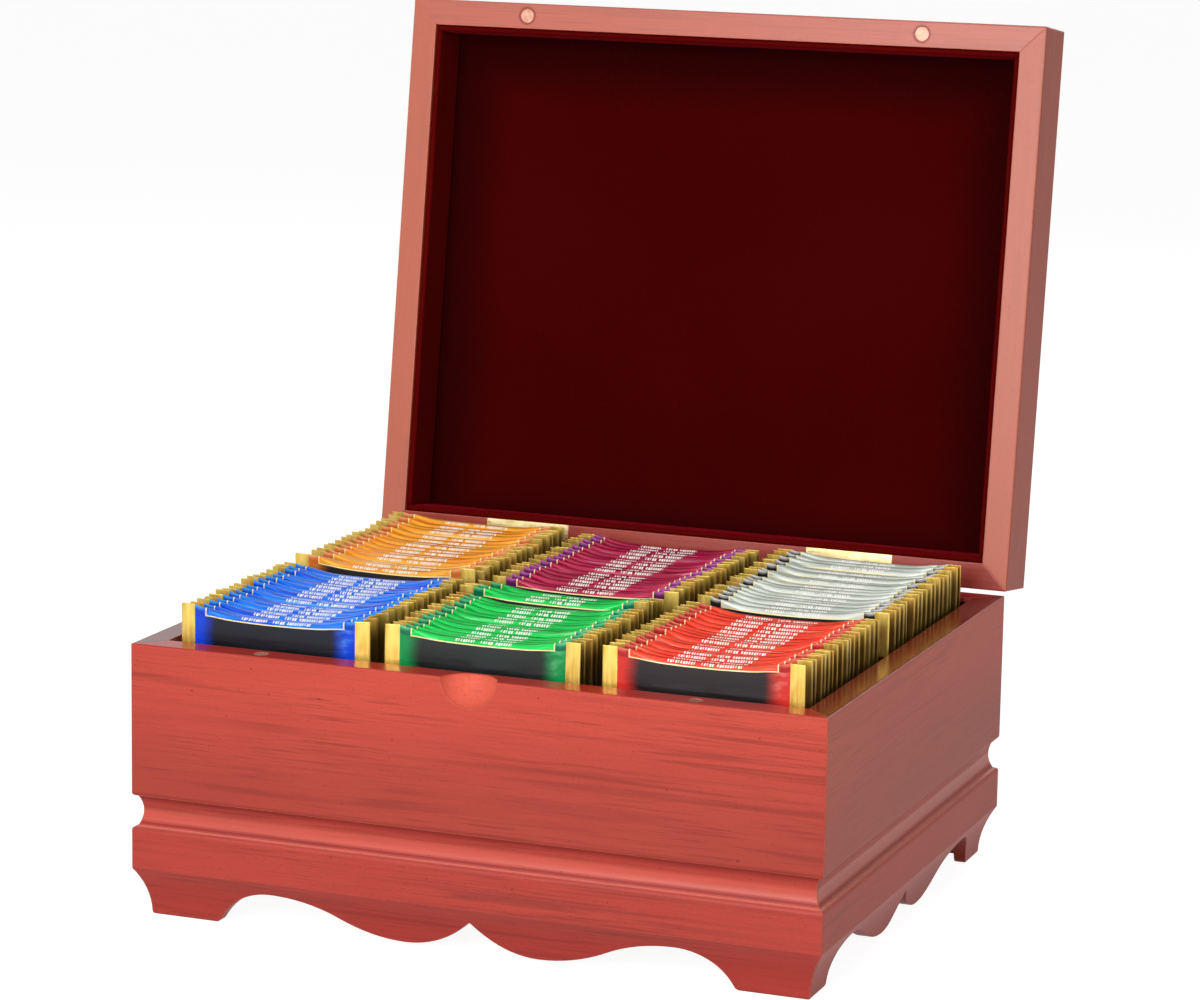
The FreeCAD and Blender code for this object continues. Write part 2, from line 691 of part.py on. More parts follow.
def hinges():
    for label, side in (("left", -1), ("right", 1)):
        leaf("%s_hinge_box_leaf" % label, side, True, False, at_pin())
        leaf("%s_hinge_lid_leaf" % label, side, False, True, at_pin(LID_OPENING_ANGLE))
        body = new_body("%s_hinge_pin" % label)
        sketch = new_sketch(body, "YZ_Plane", "%s_pin_outline" % label, HINGE_X * side)
        add_circle(sketch, ZERO, ZERO, S["pin_diameter"] / 2)
        pad(body, sketch, S["hinge_length"] + S["pin_head"] * 2, symmetric=True)
        body.Placement = at_pin()


# Groups of like pieces

def group(name, shapes, placement):
    """Separate solids of one kind, kept together under one name."""
    feature = doc.addObject("Part::Feature", name)
    feature.Label = name
    feature.Shape = Part.makeCompound(shapes)
    feature.Placement = placement
    nodes[name] = feature


def screw(x, y, z, sign):
    """A countersunk screw whose head face is at z and whose shank runs away from sign."""
    head = S["screw_head"].value / 2
    shank = S["screw_diameter"].value / 2
    depth = S["leaf_thickness"].value
    up = FreeCAD.Vector(0, 0, 1)
    at = FreeCAD.Vector(x, y, z)
    cone = Part.makeCone(head, shank, depth, at, up * -sign)
    body = Part.makeCylinder(shank, S["screw_length"].value, at - up * sign * depth, up * -sign)
    return cone.fuse(body).removeSplitter()


def screws_and_magnets():
    face = (S["closing_gap"] / 2 + S["leaf_sink"]).value
    y = (-S["pin_offset"] - S["board"] / 2).value
    places = [
        HINGE_X.value * side + S["screw_at"].value * end
        for side in (-1, 1)
        for end in (-1, 1)
    ]
    group("hinge_box_screws", [screw(x, y, -face, 1) for x in places], at_pin())
    group("hinge_lid_screws", [screw(x, y, face, -1) for x in places], at_pin(LID_OPENING_ANGLE))
    radius = S["magnet_diameter"].value / 2
    thick = S["magnet_thickness"].value
    y = (-HALF_DEPTH + MAGNET_Y).value
    top = (S["rim_height"] - S["magnet_sink"]).value
    ends = [MAGNET_X.value * side for side in (-1, 1)]
    low = [Part.makeCylinder(radius, thick, FreeCAD.Vector(x, y, top - thick)) for x in ends]
    group("box_magnets", low, turned(0))
    bottom = (LID_RIM + S["magnet_sink"]).value
    high = [Part.makeCylinder(radius, thick, FreeCAD.Vector(x, y, bottom)) for x in ends]
    group("lid_magnets", high, in_lid(turned(0)))


# The tea sachets

def sachet_outline(x, y):
    """A filled sachet from above: a flat front, two crimped ends level with it, and the belly behind."""
    half = SACHET_WIDTH / 2
    neck = half - S["seal_width"]
    shoulder = neck - S["shoulder_width"]
    seal_back = y + S["seal_thickness"]
    belly_back = y + SACHET_BELLY
    return [
        (x - half, y),
        (x + half, y),
        (x + half, seal_back),
        (x + neck, seal_back),
        (x + shoulder, belly_back),
        (x - shoulder, belly_back),
        (x - neck, seal_back),
        (x - half, seal_back),
    ]


def sachet_stack(name, x, first_y, pitch):
    body = new_body(name)
    body.AllowCompound = True
    sketch = new_sketch(body, "XY_Plane", name + "_outline", LINED_FLOOR)
    add_outline(sketch, sachet_outline(x, first_y))
    one = pad(body, sketch, S["sachet_height"])
    row = body.newObject("PartDesign::LinearPattern", name + "_row")
    row.Originals = [one]
    row.Direction = (sketch, ["V_Axis"])
    row.Mode = "Spacing"
    row.setExpression("Offset", pitch.formula)
    row.Occurrences = SACHETS_PER_STACK
    body.Tip = row


def sachets():
    front_y = -LINED_HALF_DEPTH + S["front_stack_lead"]
    rear_y = S["divider_thickness"] / 2 + S["rear_stack_lead"]
    for column, label in ((-1, "left"), (0, "middle"), (1, "right")):
        x = column_x(column) + S[label + "_stack_shift"]
        sachet_stack("tea_sachets_front_%s" % label, x, front_y, FRONT_PITCH)
        sachet_stack("tea_sachets_rear_%s" % label, x, rear_y, REAR_PITCH)


# Checking and writing

def check_document():
    doc.recompute()
    for item in doc.Objects:
        if "Invalid" in item.State or "Error" in item.State:
            raise RuntimeError("%s did not compute" % item.Name)
    for name, item in nodes.items():
        if item.Shape.isNull() or not item.Shape.isValid():
            raise RuntimeError("%s has no valid shape" % name)


def write_steps():
    os.makedirs("parts", exist_ok=True)
    for name, item in nodes.items():
        item.Shape.exportStep("parts/%s.step" % name)


walls()
base()
floor()
case_linings()
dividers()
lid()
lid_linings()
hinges()
screws_and_magnets()
sachets()
check_document()
write_steps()
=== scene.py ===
"""Looks of the wooden tea box: lacquer, velvet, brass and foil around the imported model."""
import json
import math

import bpy
import numpy as np
from mathutils import Matrix, Vector

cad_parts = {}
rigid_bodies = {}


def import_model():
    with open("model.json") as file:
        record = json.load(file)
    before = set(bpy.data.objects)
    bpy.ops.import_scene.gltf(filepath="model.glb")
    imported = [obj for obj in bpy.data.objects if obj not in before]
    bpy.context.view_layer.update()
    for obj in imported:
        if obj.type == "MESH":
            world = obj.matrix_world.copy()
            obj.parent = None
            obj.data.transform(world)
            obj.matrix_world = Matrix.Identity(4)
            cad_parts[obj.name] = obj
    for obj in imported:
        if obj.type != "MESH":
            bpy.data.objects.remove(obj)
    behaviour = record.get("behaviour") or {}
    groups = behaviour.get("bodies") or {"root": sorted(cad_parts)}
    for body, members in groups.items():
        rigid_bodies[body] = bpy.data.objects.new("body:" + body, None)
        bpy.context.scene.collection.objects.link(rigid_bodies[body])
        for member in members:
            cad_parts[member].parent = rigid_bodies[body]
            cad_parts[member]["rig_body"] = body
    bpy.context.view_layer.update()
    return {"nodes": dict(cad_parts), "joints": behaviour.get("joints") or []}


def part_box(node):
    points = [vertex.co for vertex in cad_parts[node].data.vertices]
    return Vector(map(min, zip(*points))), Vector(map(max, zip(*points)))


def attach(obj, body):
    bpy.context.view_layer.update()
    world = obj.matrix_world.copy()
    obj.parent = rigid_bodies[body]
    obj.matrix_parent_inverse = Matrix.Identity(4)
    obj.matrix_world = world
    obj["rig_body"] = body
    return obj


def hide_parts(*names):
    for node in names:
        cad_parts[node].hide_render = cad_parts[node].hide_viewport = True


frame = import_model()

MM = 0.001
SIDES = ("front", "back", "left", "right")
NODES = frame["nodes"]
HINGE = frame["joints"][0]
PIN = Vector(HINGE["pos_m"])
OPENING = math.radians(HINGE["range_deg"][1])
# SHUT takes a point of the open lid to where it lies when the lid is shut, and OPEN takes it back.
SHUT = (Matrix.Translation(PIN) @ Matrix.Rotation(OPENING, 4, Vector(HINGE["axis"]))
        @ Matrix.Translation(-PIN))
OPEN = SHUT.inverted()


# Materials

MIX_FIRST, MIX_SECOND, MIX_RESULT = 6, 7, 2    # the colour sockets of a Mix node


def srgb(red, green, blue):
    """A colour given as it looks on a screen, from 0 to 255."""
    def linear(value):
        value /= 255.0
        return value / 12.92 if value <= 0.04045 else ((value + 0.055) / 1.055) ** 2.4
    return (linear(red), linear(green), linear(blue), 1.0)


class Paint:
    """A node material that is built up call by call. A value is a number, a colour or a node's output."""

    def __init__(self, name, **constants):
        self.material = bpy.data.materials.new(name)
        self.material.use_nodes = True
        self.tree = self.material.node_tree
        self.shader = self.tree.nodes["Principled BSDF"]
        for socket, value in constants.items():
            self.shader.inputs[socket.replace("_", " ")].default_value = value

    def add(self, kind, inputs=None, **settings):
        node = self.tree.nodes.new("ShaderNode" + kind)
        for key, value in settings.items():
            setattr(node, key, value)
        for key, value in (inputs or {}).items():
            self.put(node.inputs[key], value)
        return node

    def put(self, socket, value):
        if isinstance(value, bpy.types.NodeSocket):
            self.tree.links.new(value, socket)
        else:
            socket.default_value = value

    def set(self, **inputs):
        for socket, value in inputs.items():
            self.put(self.shader.inputs[socket.replace("_", " ")], value)
        return self

    def math(self, operation, *values):
        node = self.add("Math", operation=operation)
        for socket, value in zip(node.inputs, values):
            self.put(socket, value)
        return node.outputs[0]

    def times(self, first, second):
        return self.math("MULTIPLY", first, second)

    def least(self, values):
        smallest, *others = values
        for value in others:
            smallest = self.math("MINIMUM", smallest, value)
        return smallest

    def place(self, shut=False):
        """Object coordinates in metres; a piece of the lid is read as if the lid were shut."""
        where = self.add("TexCoord").outputs["Object"]
        if shut:
            where = self.add("Mapping", {"Vector": where, "Rotation": (OPENING, 0.0, 0.0),
                                         "Location": SHUT.to_translation()}).outputs[0]
        return where

    def stretch(self, where, scale, offset=(0.0, 0.0, 0.0)):
        return self.add("Mapping", {"Vector": where, "Scale": scale, "Location": offset}).outputs[0]

    def split(self, where):
        return self.add("SeparateXYZ", {0: where}).outputs

    def noise(self, where, scale, detail=2.0, roughness=0.5, distortion=0.0):
        return self.add("TexNoise", {"Vector": where, "Scale": scale, "Detail": detail,
                                     "Roughness": roughness, "Distortion": distortion}).outputs["Fac"]

    def span(self, value, low, high, start=0.0, end=1.0):
        """Smoothly from start, where the value is low, to end, where it is high."""
        return self.add("MapRange", {"Value": value, "From Min": low, "From Max": high,
                                     "To Min": start, "To Max": end},
                        interpolation_type="SMOOTHSTEP").outputs[0]

    def near(self, value, centre, full, none, amount=1.0):
        """The amount where the value is within full of the centre, and nothing from none on."""
        gap = self.math("ABSOLUTE", self.math("SUBTRACT", value, centre))
        return self.span(gap, full, none, amount, 0.0)

    def mix(self, share, first, second):
        node = self.add("Mix", data_type="RGBA")
        self.put(node.inputs[0], share)
        self.put(node.inputs[MIX_FIRST], first)
        self.put(node.inputs[MIX_SECOND], second)
        return node.outputs[MIX_RESULT]

    def bump(self, height, distance, strength=1.0, under=None):
        inputs = {"Height": height, "Distance": distance, "Strength": strength}
        if under is not None:
            inputs["Normal"] = under
        return self.add("Bump", inputs).outputs[0]


# Lacquered wood

# Heights over the floor at which the colour changes; some of these colours are painted light and shade
WALL_DARKENING = (58 * MM, 112 * MM)      # the walls are darker towards the bottom
LIP_SHADE = (47.5 * MM, 51.5 * MM)    # painted shade under the lip of the case
QUIRK_SHADE = 39.8 * MM               # painted shade in the line over the fascia
FOOT_DARKENING = (10 * MM, 27 * MM)       # the feet are darker towards the floor
FASCIA_EDGE = 38.5 * MM               # the upper edge of the fascia has a painted highlight
COVE_FOOT = (40.4 * MM, 41.4 * MM)    # the cove has a painted highlight from here
COVE_HEAD = (44.6 * MM, 47.0 * MM)    # to here

# Noise in the wood: share of the scale along the grain, shift, scale, detail, roughness, distortion
GRAIN = {
    "tone": (0.14, 0.0, 60.0, 3.0, 0.55, 0.6),
    "patch": (0.35, 0.9, 22.0, 2.0, 0.5, 0.3),
    "streak": (0.022, 0.0, 1100.0, 4.0, 0.6, 0.35),
    "fibre": (0.03, 0.0, 3000.0, 2.0, 0.6, 0.0),
    "figure": (0.024, 0.4, 330.0, 3.0, 0.55, 0.5),
    "pores": (0.22, 0.0, 2600.0, 1.0, 0.5, 0.0),
    "flecks": (0.5, 2.3, 640.0, 1.0, 0.5, 0.0),
}
# Stains of the wood, and colours of painted light and shade on it, by name
STAINS_AND_PAINTED_LIGHT = {
    "red": (208, 80, 66), "cool": (199, 76, 63), "warm": (214, 88, 71), "grain": (120, 48, 40),
    "fibre": (150, 50, 40), "pores": (96, 22, 20), "dots": (110, 22, 20), "flecks": (236, 84, 66),
    "wall": (130, 54, 49), "cove": (240, 114, 94), "foot": (160, 36, 34), "fascia": (255, 168, 150),
    "gathered": (140, 10, 6),
}
# Painted light in the finger scoop
SCOOP_HIGHLIGHT = (250, 124, 96)
# Painted highlight along the eased edges
EDGE_HIGHLIGHT = (240, 128, 108)
MAGNET_STAIN = (130, 32, 28)
MAGNET_RING = (4.0 * MM, 5.4 * MM)    # from the middle of a magnet to where its ring of stain fades and ends
RIM_EDGE = (0.15 * MM, 0.5 * MM)      # from the plane of a rim to where its painted light and lower roughness fade and end
EASING = 0.7 * MM                     # radius of the eased edges
RELIEF = 0.5                          # how uneven the lacquer is
RIM_RELIEF = 0.15                     # the same on the rim of the case
CASE_RIM_ROUGHNESS = 0.38             # share of the roughness that is left on the rim of the case
LID_RIM_ROUGHNESS = 0.62              # the same on the rim of the lid
COVE_ROUGHNESS = 0.7                  # the same in the cove


class Lacquer(Paint):
    """Red lacquer over close-grained wood, laid on layer by layer. along is the axis that the grain follows,
    offset where in the grain the board was cut."""

    def __init__(self, name, along, shut, offset, tint, gloss):
        super().__init__(name, IOR=1.5, Specular_IOR_Level=gloss)
        self.along, self.shut, self.offset, self.tint = along, shut, offset, (*tint, 1.0)
        self.where = self.place(shut)
        self.x, self.y, self.z = self.split(self.where)
        self.peel = self.noise(self.where, 1500.0, 2.0, 0.6)
        self.fibre = self.grain("fibre")
        self.pores = self.span(self.grain("pores"), 0.66, 0.73)
        self.rough = self.span(self.peel, 0.3, 0.7, 0.44, 0.56)
        self.relief = RELIEF
        self.colour = self.rim_face = None

    def grain(self, name):
        share, shift, *texture = GRAIN[name]
        scale = [1.0, 1.0, 1.0]
        scale[self.along] = share
        start = (self.offset + shift, 0.31 * self.offset, 0.17 * self.offset)
        return self.noise(self.stretch(self.where, scale, start), *texture)

    # A colour of the table in this board's tint; the table holds stains and painted light and shade.
    def stain(self, name):
        return tuple(part * share for part, share in zip(srgb(*STAINS_AND_PAINTED_LIGHT[name]), self.tint))

    def over(self, amount, shade):
        """Lay a colour over what is there."""
        self.colour = self.mix(amount, self.colour, shade)

    def lay_tinted(self, amount, name):
        """Lay a colour of the table, in this board's tint, over what is there; the table holds stains and
        painted light and shade.
        """
        self.over(amount, self.stain(name))

    def lay_grain(self, figured):
        """The wood in its stains; figured is how much of its grain shows."""
        tone, patch, streak, figure = (self.grain(name) for name in ("tone", "patch", "streak", "figure"))
        dots = self.span(self.noise(self.where, 520.0, 1.0), 0.765, 0.80)
        flecks = self.span(self.grain("flecks"), 0.74, 0.80)
        lines = self.times(self.span(streak, 0.50, 0.66), self.span(tone, 0.36, 0.60, 0.15, 1.0))
        broad = self.times(self.span(figure, 0.50, 0.64), self.span(patch, 0.40, 0.60, 0.25, 1.0))
        dark = self.math("MAXIMUM", self.times(lines, 0.8), self.times(broad, 0.7))
        self.colour = self.mix(self.span(patch, 0.34, 0.66), self.stain("red"), self.stain("cool"))
        self.lay_tinted(self.span(tone, 0.3, 0.7, 0.0, 0.4), "warm")
        self.lay_tinted(self.times(dark, 0.66 * figured), "grain")
        self.lay_tinted(self.span(self.fibre, 0.35, 0.7, 0.0, 0.12), "fibre")
        self.lay_tinted(self.times(self.pores, 0.45), "pores")
        self.lay_tinted(self.times(dots, 0.6), "dots")
        self.lay_tinted(self.times(flecks, 0.30), "flecks")

    def shine_and_light_rim(self, rim, rim_light):
        """Make the face at the height rim, which meets the other half of the box, less rough and lay painted
        light on it:
        painted shade on the case, a painted highlight on the lid, darker on its back rail. The amount and
        colour given for it are that painted light."""
        amount, shade = rim_light
        self.rim_face = self.near(self.z, rim, *RIM_EDGE)
        left = LID_RIM_ROUGHNESS if self.shut else CASE_RIM_ROUGHNESS
        self.rough = self.times(self.rough, self.span(self.rim_face, 0.0, 1.0, 1.0, left))
        if not self.shut:
            self.relief = self.span(self.rim_face, 0.0, 1.0, RELIEF, RIM_RELIEF)
            # The walls are made darker towards the bottom.
            self.lay_tinted(self.span(self.z, *WALL_DARKENING, 0.40, 0.0), "wall")
        # Painted light on the rim face: shade on the case, a highlight on the lid, darker on its back rail.
        self.over(self.times(self.rim_face, amount), srgb(*shade))

    def paint_scoop_light(self, face, rim):
        """Painted light in the bowl of the finger scoop, behind the plane of the face and under the rim."""
        bowl = self.times(self.span(self.y, face + 0.2 * MM, face + 0.9 * MM),
                          self.span(self.z, rim - 0.6 * MM, rim - 0.3 * MM, 1.0, 0.0))
        self.over(self.times(bowl, self.span(self.peel, 0.25, 0.75, 0.30, 0.55)), srgb(*SCOOP_HIGHLIGHT))

    def shade_base(self):
        """Painted highlights in the cove and on the fascia's upper edge, feet darker towards the floor, and
        painted shade under the lip and in the line over the fascia.
        """
        # Painted highlight in the cove, which is also made less rough there.
        cove = self.times(self.span(self.z, *COVE_FOOT), self.span(self.z, *COVE_HEAD, 1.0, 0.0))
        self.lay_tinted(self.times(cove, 0.6), "cove")
        self.rough = self.times(self.rough, self.span(cove, 0.0, 1.0, 1.0, COVE_ROUGHNESS))
        # The feet are made darker towards the floor.
        self.lay_tinted(self.span(self.z, *FOOT_DARKENING, 0.35, 0.0), "foot")
        # Painted highlight along the upper edge of the fascia.
        self.lay_tinted(self.near(self.z, FASCIA_EDGE, 0.1 * MM, 0.4 * MM, 0.5), "fascia")
        # Painted shade in the line over the fascia.
        quirk_shade = self.near(self.z, QUIRK_SHADE, 0.2 * MM, 0.6 * MM, 0.7)
        # Painted shade under the lip of the case.
        lip = self.span(self.z, *LIP_SHADE, 0.0, 0.8)
        self.lay_tinted(self.math("MAXIMUM", lip, quirk_shade), "gathered")

    def ring_magnets(self, spots):
        """Stain collected in the rim face round the magnets."""
        gaps = []
        for spot in spots:
            squares = [self.math("POWER", self.math("SUBTRACT", value, centre), 2.0)
                       for value, centre in zip((self.x, self.y), spot)]
            gaps.append(self.math("SQRT", self.math("ADD", *squares)))
        gap = self.math("ADD", self.least(gaps), self.times(self.peel, 1.2 * MM))
        self.over(self.times(self.span(gap, *MAGNET_RING, 0.75, 0.0), self.rim_face), srgb(*MAGNET_STAIN))

    def finish(self):
        """Ease the edges, paint a highlight along them and fill the shader."""
        eased = self.add("Bevel", {"Radius": EASING}, samples=6).outputs[0]
        flat = self.add("NewGeometry").outputs["Normal"]
        turned = self.add("VectorMath", {0: eased, 1: flat}, operation="DOT_PRODUCT").outputs["Value"]
        # Painted highlight along the eased edges.
        edge_highlight = self.times(self.span(turned, 0.92, 0.995, 0.55, 0.0), self.span(self.peel, 0.25, 0.55))
        self.over(edge_highlight, srgb(*EDGE_HIGHLIGHT))
        height = self.math("ADD", self.times(self.fibre, 0.3), self.times(self.peel, 0.7))
        height = self.math("SUBTRACT", height, self.times(self.pores, 0.5))
        normal = self.bump(height, 0.08 * MM, self.relief, eased)
        return self.set(Base_Color=self.colour, Roughness=self.rough, Normal=normal).material


# Bare wood, velvet and metal

VELVET_SHEEN = (206, 26, 50)
VELVET_EDGE_SHADE = (30, 2, 2)           # painted shade towards the edges of the ceiling pad
VELVET_TIPS = (118, 5, 8)          # the tips of the pile
HINGE_EDGE = 14 * MM               # the painted shade is this much narrower at the hinged edge of the lid


def bare_wood():
    paint = Paint("bare_board", IOR=1.45)
    streak = paint.noise(paint.stretch(paint.place(), (0.05, 1.0, 1.0)), 300.0, 4.0, 0.6, 0.4)
    colour = paint.mix(paint.span(streak, 0.4, 0.7), srgb(214, 180, 134), srgb(170, 128, 84))
    return paint.set(Base_Color=colour, Roughness=paint.span(streak, 0.3, 0.7, 0.6, 0.8),
                     Normal=paint.bump(streak, 0.1 * MM, 0.5)).material


def velvet(name, shut, low=(60, 2, 3), high=(65, 3, 4), sheen=0.45, rolled=None):
    """Dark red pile, bright where it is seen edge on. rolled is the box of a pad that is painted darker
    towards its edges, as painted shade."""
    paint = Paint(name, IOR=1.3, Specular_IOR_Level=0.04, Sheen_Weight=sheen, Sheen_Roughness=0.25,
                  Sheen_Tint=srgb(*VELVET_SHEEN))
    where = paint.place(shut)
    brushed = paint.noise(where, 9.0, 2.0, 0.5, 0.2)
    pile = paint.noise(where, 2200.0, 2.0, 0.7)
    colour = paint.mix(paint.span(brushed, 0.3, 0.7), srgb(*low), srgb(*high))
    if rolled:
        x, y, _ = paint.split(where)
        (left, front, _), (right, back, _) = (map(float, corner) for corner in rolled)
        edge = paint.least([paint.math("SUBTRACT", x, left), paint.math("SUBTRACT", right, x),
                            paint.math("SUBTRACT", y, front), paint.math("SUBTRACT", back + HINGE_EDGE, y)])
        edge = paint.math("ADD", edge, paint.times(brushed, 6 * MM))
        # Painted shade towards the edges of the pad.
        colour = paint.mix(paint.span(edge, 10 * MM, 38 * MM, 0.8, 0.0), colour, srgb(*VELVET_EDGE_SHADE))
    tips = paint.mix(0.5, colour, srgb(*VELVET_TIPS))
    colour = paint.mix(paint.span(pile, 0.35, 0.75, 0.0, 0.35), colour, tips)
    return paint.set(Base_Color=colour, Roughness=paint.span(pile, 0.2, 0.8, 0.85, 1.0),
                     Normal=paint.bump(pile, 0.22 * MM, 0.5)).material


def metal(name, light, dark, roughness, brush=(1.0, 1.0, 1.0)):
    paint = Paint(name, Metallic=1.0)
    where = paint.place()
    brushed = paint.noise(paint.stretch(where, brush), 900.0, 3.0, 0.6)
    tarnish = paint.noise(where, 190.0, 3.0, 0.6)
    colour = paint.mix(paint.span(tarnish, 0.35, 0.7), srgb(*light), srgb(*dark))
    return paint.set(Base_Color=colour, Roughness=paint.span(brushed, 0.3, 0.7, roughness, roughness + 0.16),
                     Normal=paint.bump(brushed, 0.06 * MM, 0.4)).material


# Foil

BAND_END = 31.0                # from the middle of a sachet to the end of its coloured band, mm
SHOULDER_END = 34.5            # and to where the painted highlight on the shoulder beyond it is strongest
STROKES_PER_DM = 92.0
# Painted shade on the lower part of the panels
PANEL_SHADE = (22, 24, 28)
BORDER = (252, 232, 166)
STROKES = (255, 253, 244)
# The last of these is painted shade on the seals behind the first sachet
GOLD, GOLD_LIGHT, GOLD_WARM, GOLD_SHADE = (216, 181, 76), (240, 208, 108), (234, 176, 76), (96, 70, 22)


class Foil(Paint):
    """Foil of a sachet. The print map reads across the sachet in decimetres, and round it in rows from the
    crest: rows 1 and -1 are the borders of the coloured band. seed is a number of the sachet's own, near 0
    for the first of a stack."""

    def __init__(self, name, wide, high, **constants):
        super().__init__(name, **constants)
        self.across, self.row, _ = self.split(self.add("UVMap", uv_map="print").outputs[0])
        self.rows = self.math("ABSOLUTE", self.row)
        self.seed = self.add("Attribute", attribute_name="sachet").outputs["Fac"]
        self.spot = self.add("CombineXYZ", {0: self.times(self.across, wide), 1: self.times(self.row, high),
                                            2: self.times(self.seed, 37.0)}).outputs[0]


class PrintedFoil(Foil):
    """Foil with a coloured band over the crest and dark panels under it."""

    def __init__(self, name):
        super().__init__(name, 2.2, 1.1, IOR=1.34, Coat_Weight=0.12, Coat_Roughness=0.08)
        self.away = self.math("ABSOLUTE", self.times(self.across, 100.0))
        self.folds = self.noise(self.spot, 1.7, 2.0, 0.5, 0.2)
        self.cloud = self.noise(self.stretch(self.spot, (3.0, 0.35, 1.0)), 1.4, 2.0)

    def band(self, bright, deep, side, curl, glint):
        """The coloured band over the crest with painted glints on its folds, and the shoulders at its ends in
        painted shade with a painted highlight along their crest.
        """
        colour = self.mix(self.span(self.folds, 0.36, 0.60), deep, bright)
        # Painted glints on the folds.
        colour = self.mix(self.span(self.folds, 0.62, 0.72, 0.0, 0.4), colour, glint)
        # Painted highlight along the shoulders' crest, over their painted shade.
        lit = self.times(self.span(self.rows, 0.12, 0.62, 1.0, 0.0),
                         self.span(self.away, BAND_END, SHOULDER_END, 0.45, 0.85))
        return self.mix(self.span(self.away, BAND_END, BAND_END + 0.5), colour, self.mix(lit, side, curl))

    def panels(self, panel, fade, glint):
        """The front and back panels: dark, with painted shade lower down, fading to the colour of the sides
        at both ends, with painted glints towards the ends.
        """
        edge = self.math("ADD", self.away, self.span(self.cloud, 0.2, 0.8, -1.3, 1.3))
        # Painted shade lower down the panel, between the sachets.
        colour = self.mix(self.span(self.rows, 1.0, 3.6, 0.0, 0.6), panel, srgb(*PANEL_SHADE))
        colour = self.mix(self.span(edge, 25.5, 33.5), colour, fade)
        # Painted glints towards the ends.
        shine = self.times(self.span(self.cloud, 0.54, 0.74, 0.0, 0.3), self.span(edge, 27.0, 33.0))
        return self.mix(shine, colour, glint)

    def border(self):
        """The thin line round the band, with a short tick down each end."""
        hair = self.times(self.near(self.rows, 1.0, 0.055, 0.085),
                          self.span(self.away, BAND_END + 0.1, BAND_END + 0.4, 1.0, 0.0))
        tick = self.times(self.near(self.away, BAND_END, 0.20, 0.34),
                          self.span(self.rows, 1.05, 1.08, 1.0, 0.0))
        return self.math("MAXIMUM", hair, tick)

    def strokes(self, reach):
        """A row of plain strokes of uneven width in front of the crest, reach mm to each side."""
        place = self.times(self.across, STROKES_PER_DM)
        cell = self.add("TexWhiteNoise", {"W": self.math("FLOOR", place)},
                        noise_dimensions="1D").outputs["Value"]
        inside = self.math("LESS_THAN", self.math("FRACT", place), self.span(cell, 0.0, 1.0, 0.35, 0.80))
        marks = self.times(inside, self.math("GREATER_THAN", cell, 0.08))
        marks = self.times(marks, self.span(self.away, reach, reach + 0.4, 1.0, 0.0))
        middle = self.math("ADD", self.row, self.span(cell, 0.0, 1.0, 0.44, 0.52))
        return self.times(marks, self.near(middle, 0.0, 0.20, 0.25))


def printed_foil(name, bright, deep, side, curl, glint, panel, fade, reach):
    paint = PrintedFoil(name)
    colour = paint.mix(paint.span(paint.rows, 0.99, 1.01), paint.band(bright, deep, side, curl, glint),
                       paint.panels(panel, fade, glint))
    line, marks = paint.border(), paint.strokes(reach)
    colour = paint.mix(line, colour, srgb(*BORDER))
    colour = paint.mix(marks, colour, srgb(*STROKES))
    printed = paint.math("MAXIMUM", marks, line)
    height = paint.times(paint.folds, paint.span(paint.rows, 1.0, 1.3, 1.0, 0.12))
    return paint.set(Base_Color=colour, Roughness=paint.span(paint.folds, 0.3, 0.7, 0.22, 0.36),
                     Metallic=paint.times(paint.math("SUBTRACT", 1.0, printed), 0.1),
                     Normal=paint.bump(height, 0.3 * MM, 0.5)).material


def gold_foil():
    paint = Foil("gold_seal", 30.0, 0.3, Metallic=0.6, IOR=1.5)
    cloud = paint.noise(paint.spot, 1.0, 2.0, 0.5)
    warm = paint.span(paint.math("FRACT", paint.times(paint.seed, 7.13)), 0.72, 0.80)
    colour = paint.mix(paint.span(cloud, 0.3, 0.7), srgb(*GOLD), srgb(*GOLD_LIGHT))
    colour = paint.mix(paint.times(warm, 0.6), colour, srgb(*GOLD_WARM))
    # Painted shade: behind the first sachet of a stack the seals are painted darker downwards.
    seal_shade = paint.times(paint.span(paint.rows, 0.1, 2.8, 0.25, 0.85), paint.span(paint.seed, 0.02, 0.05))
    colour = paint.mix(seal_shade, colour, srgb(*GOLD_SHADE))
    return paint.set(Base_Color=colour, Roughness=paint.span(cloud, 0.3, 0.7, 0.32, 0.44),
                     Normal=paint.bump(cloud, 0.2 * MM, 0.2)).material


# Meshes

CORNER_STEPS = np.array([0.0, 0.3, 0.62])    # grid lines on a rounded edge, as shares of its radius


def piece(name, points, faces, materials, body, node):
    """A smooth piece that rides on the body and takes the node's place."""
    mesh = bpy.data.meshes.new(name)
    mesh.from_pydata([tuple(p) for p in points], [], [tuple(f) for f in faces])
    mesh.validate()
    for material in materials:
        mesh.materials.append(material)
    made = bpy.data.objects.new(name, mesh)
    bpy.context.scene.collection.objects.link(made)
    mesh.polygons.foreach_set("use_smooth", [True] * len(mesh.polygons))
    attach(made, body)
    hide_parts(node)
    return made


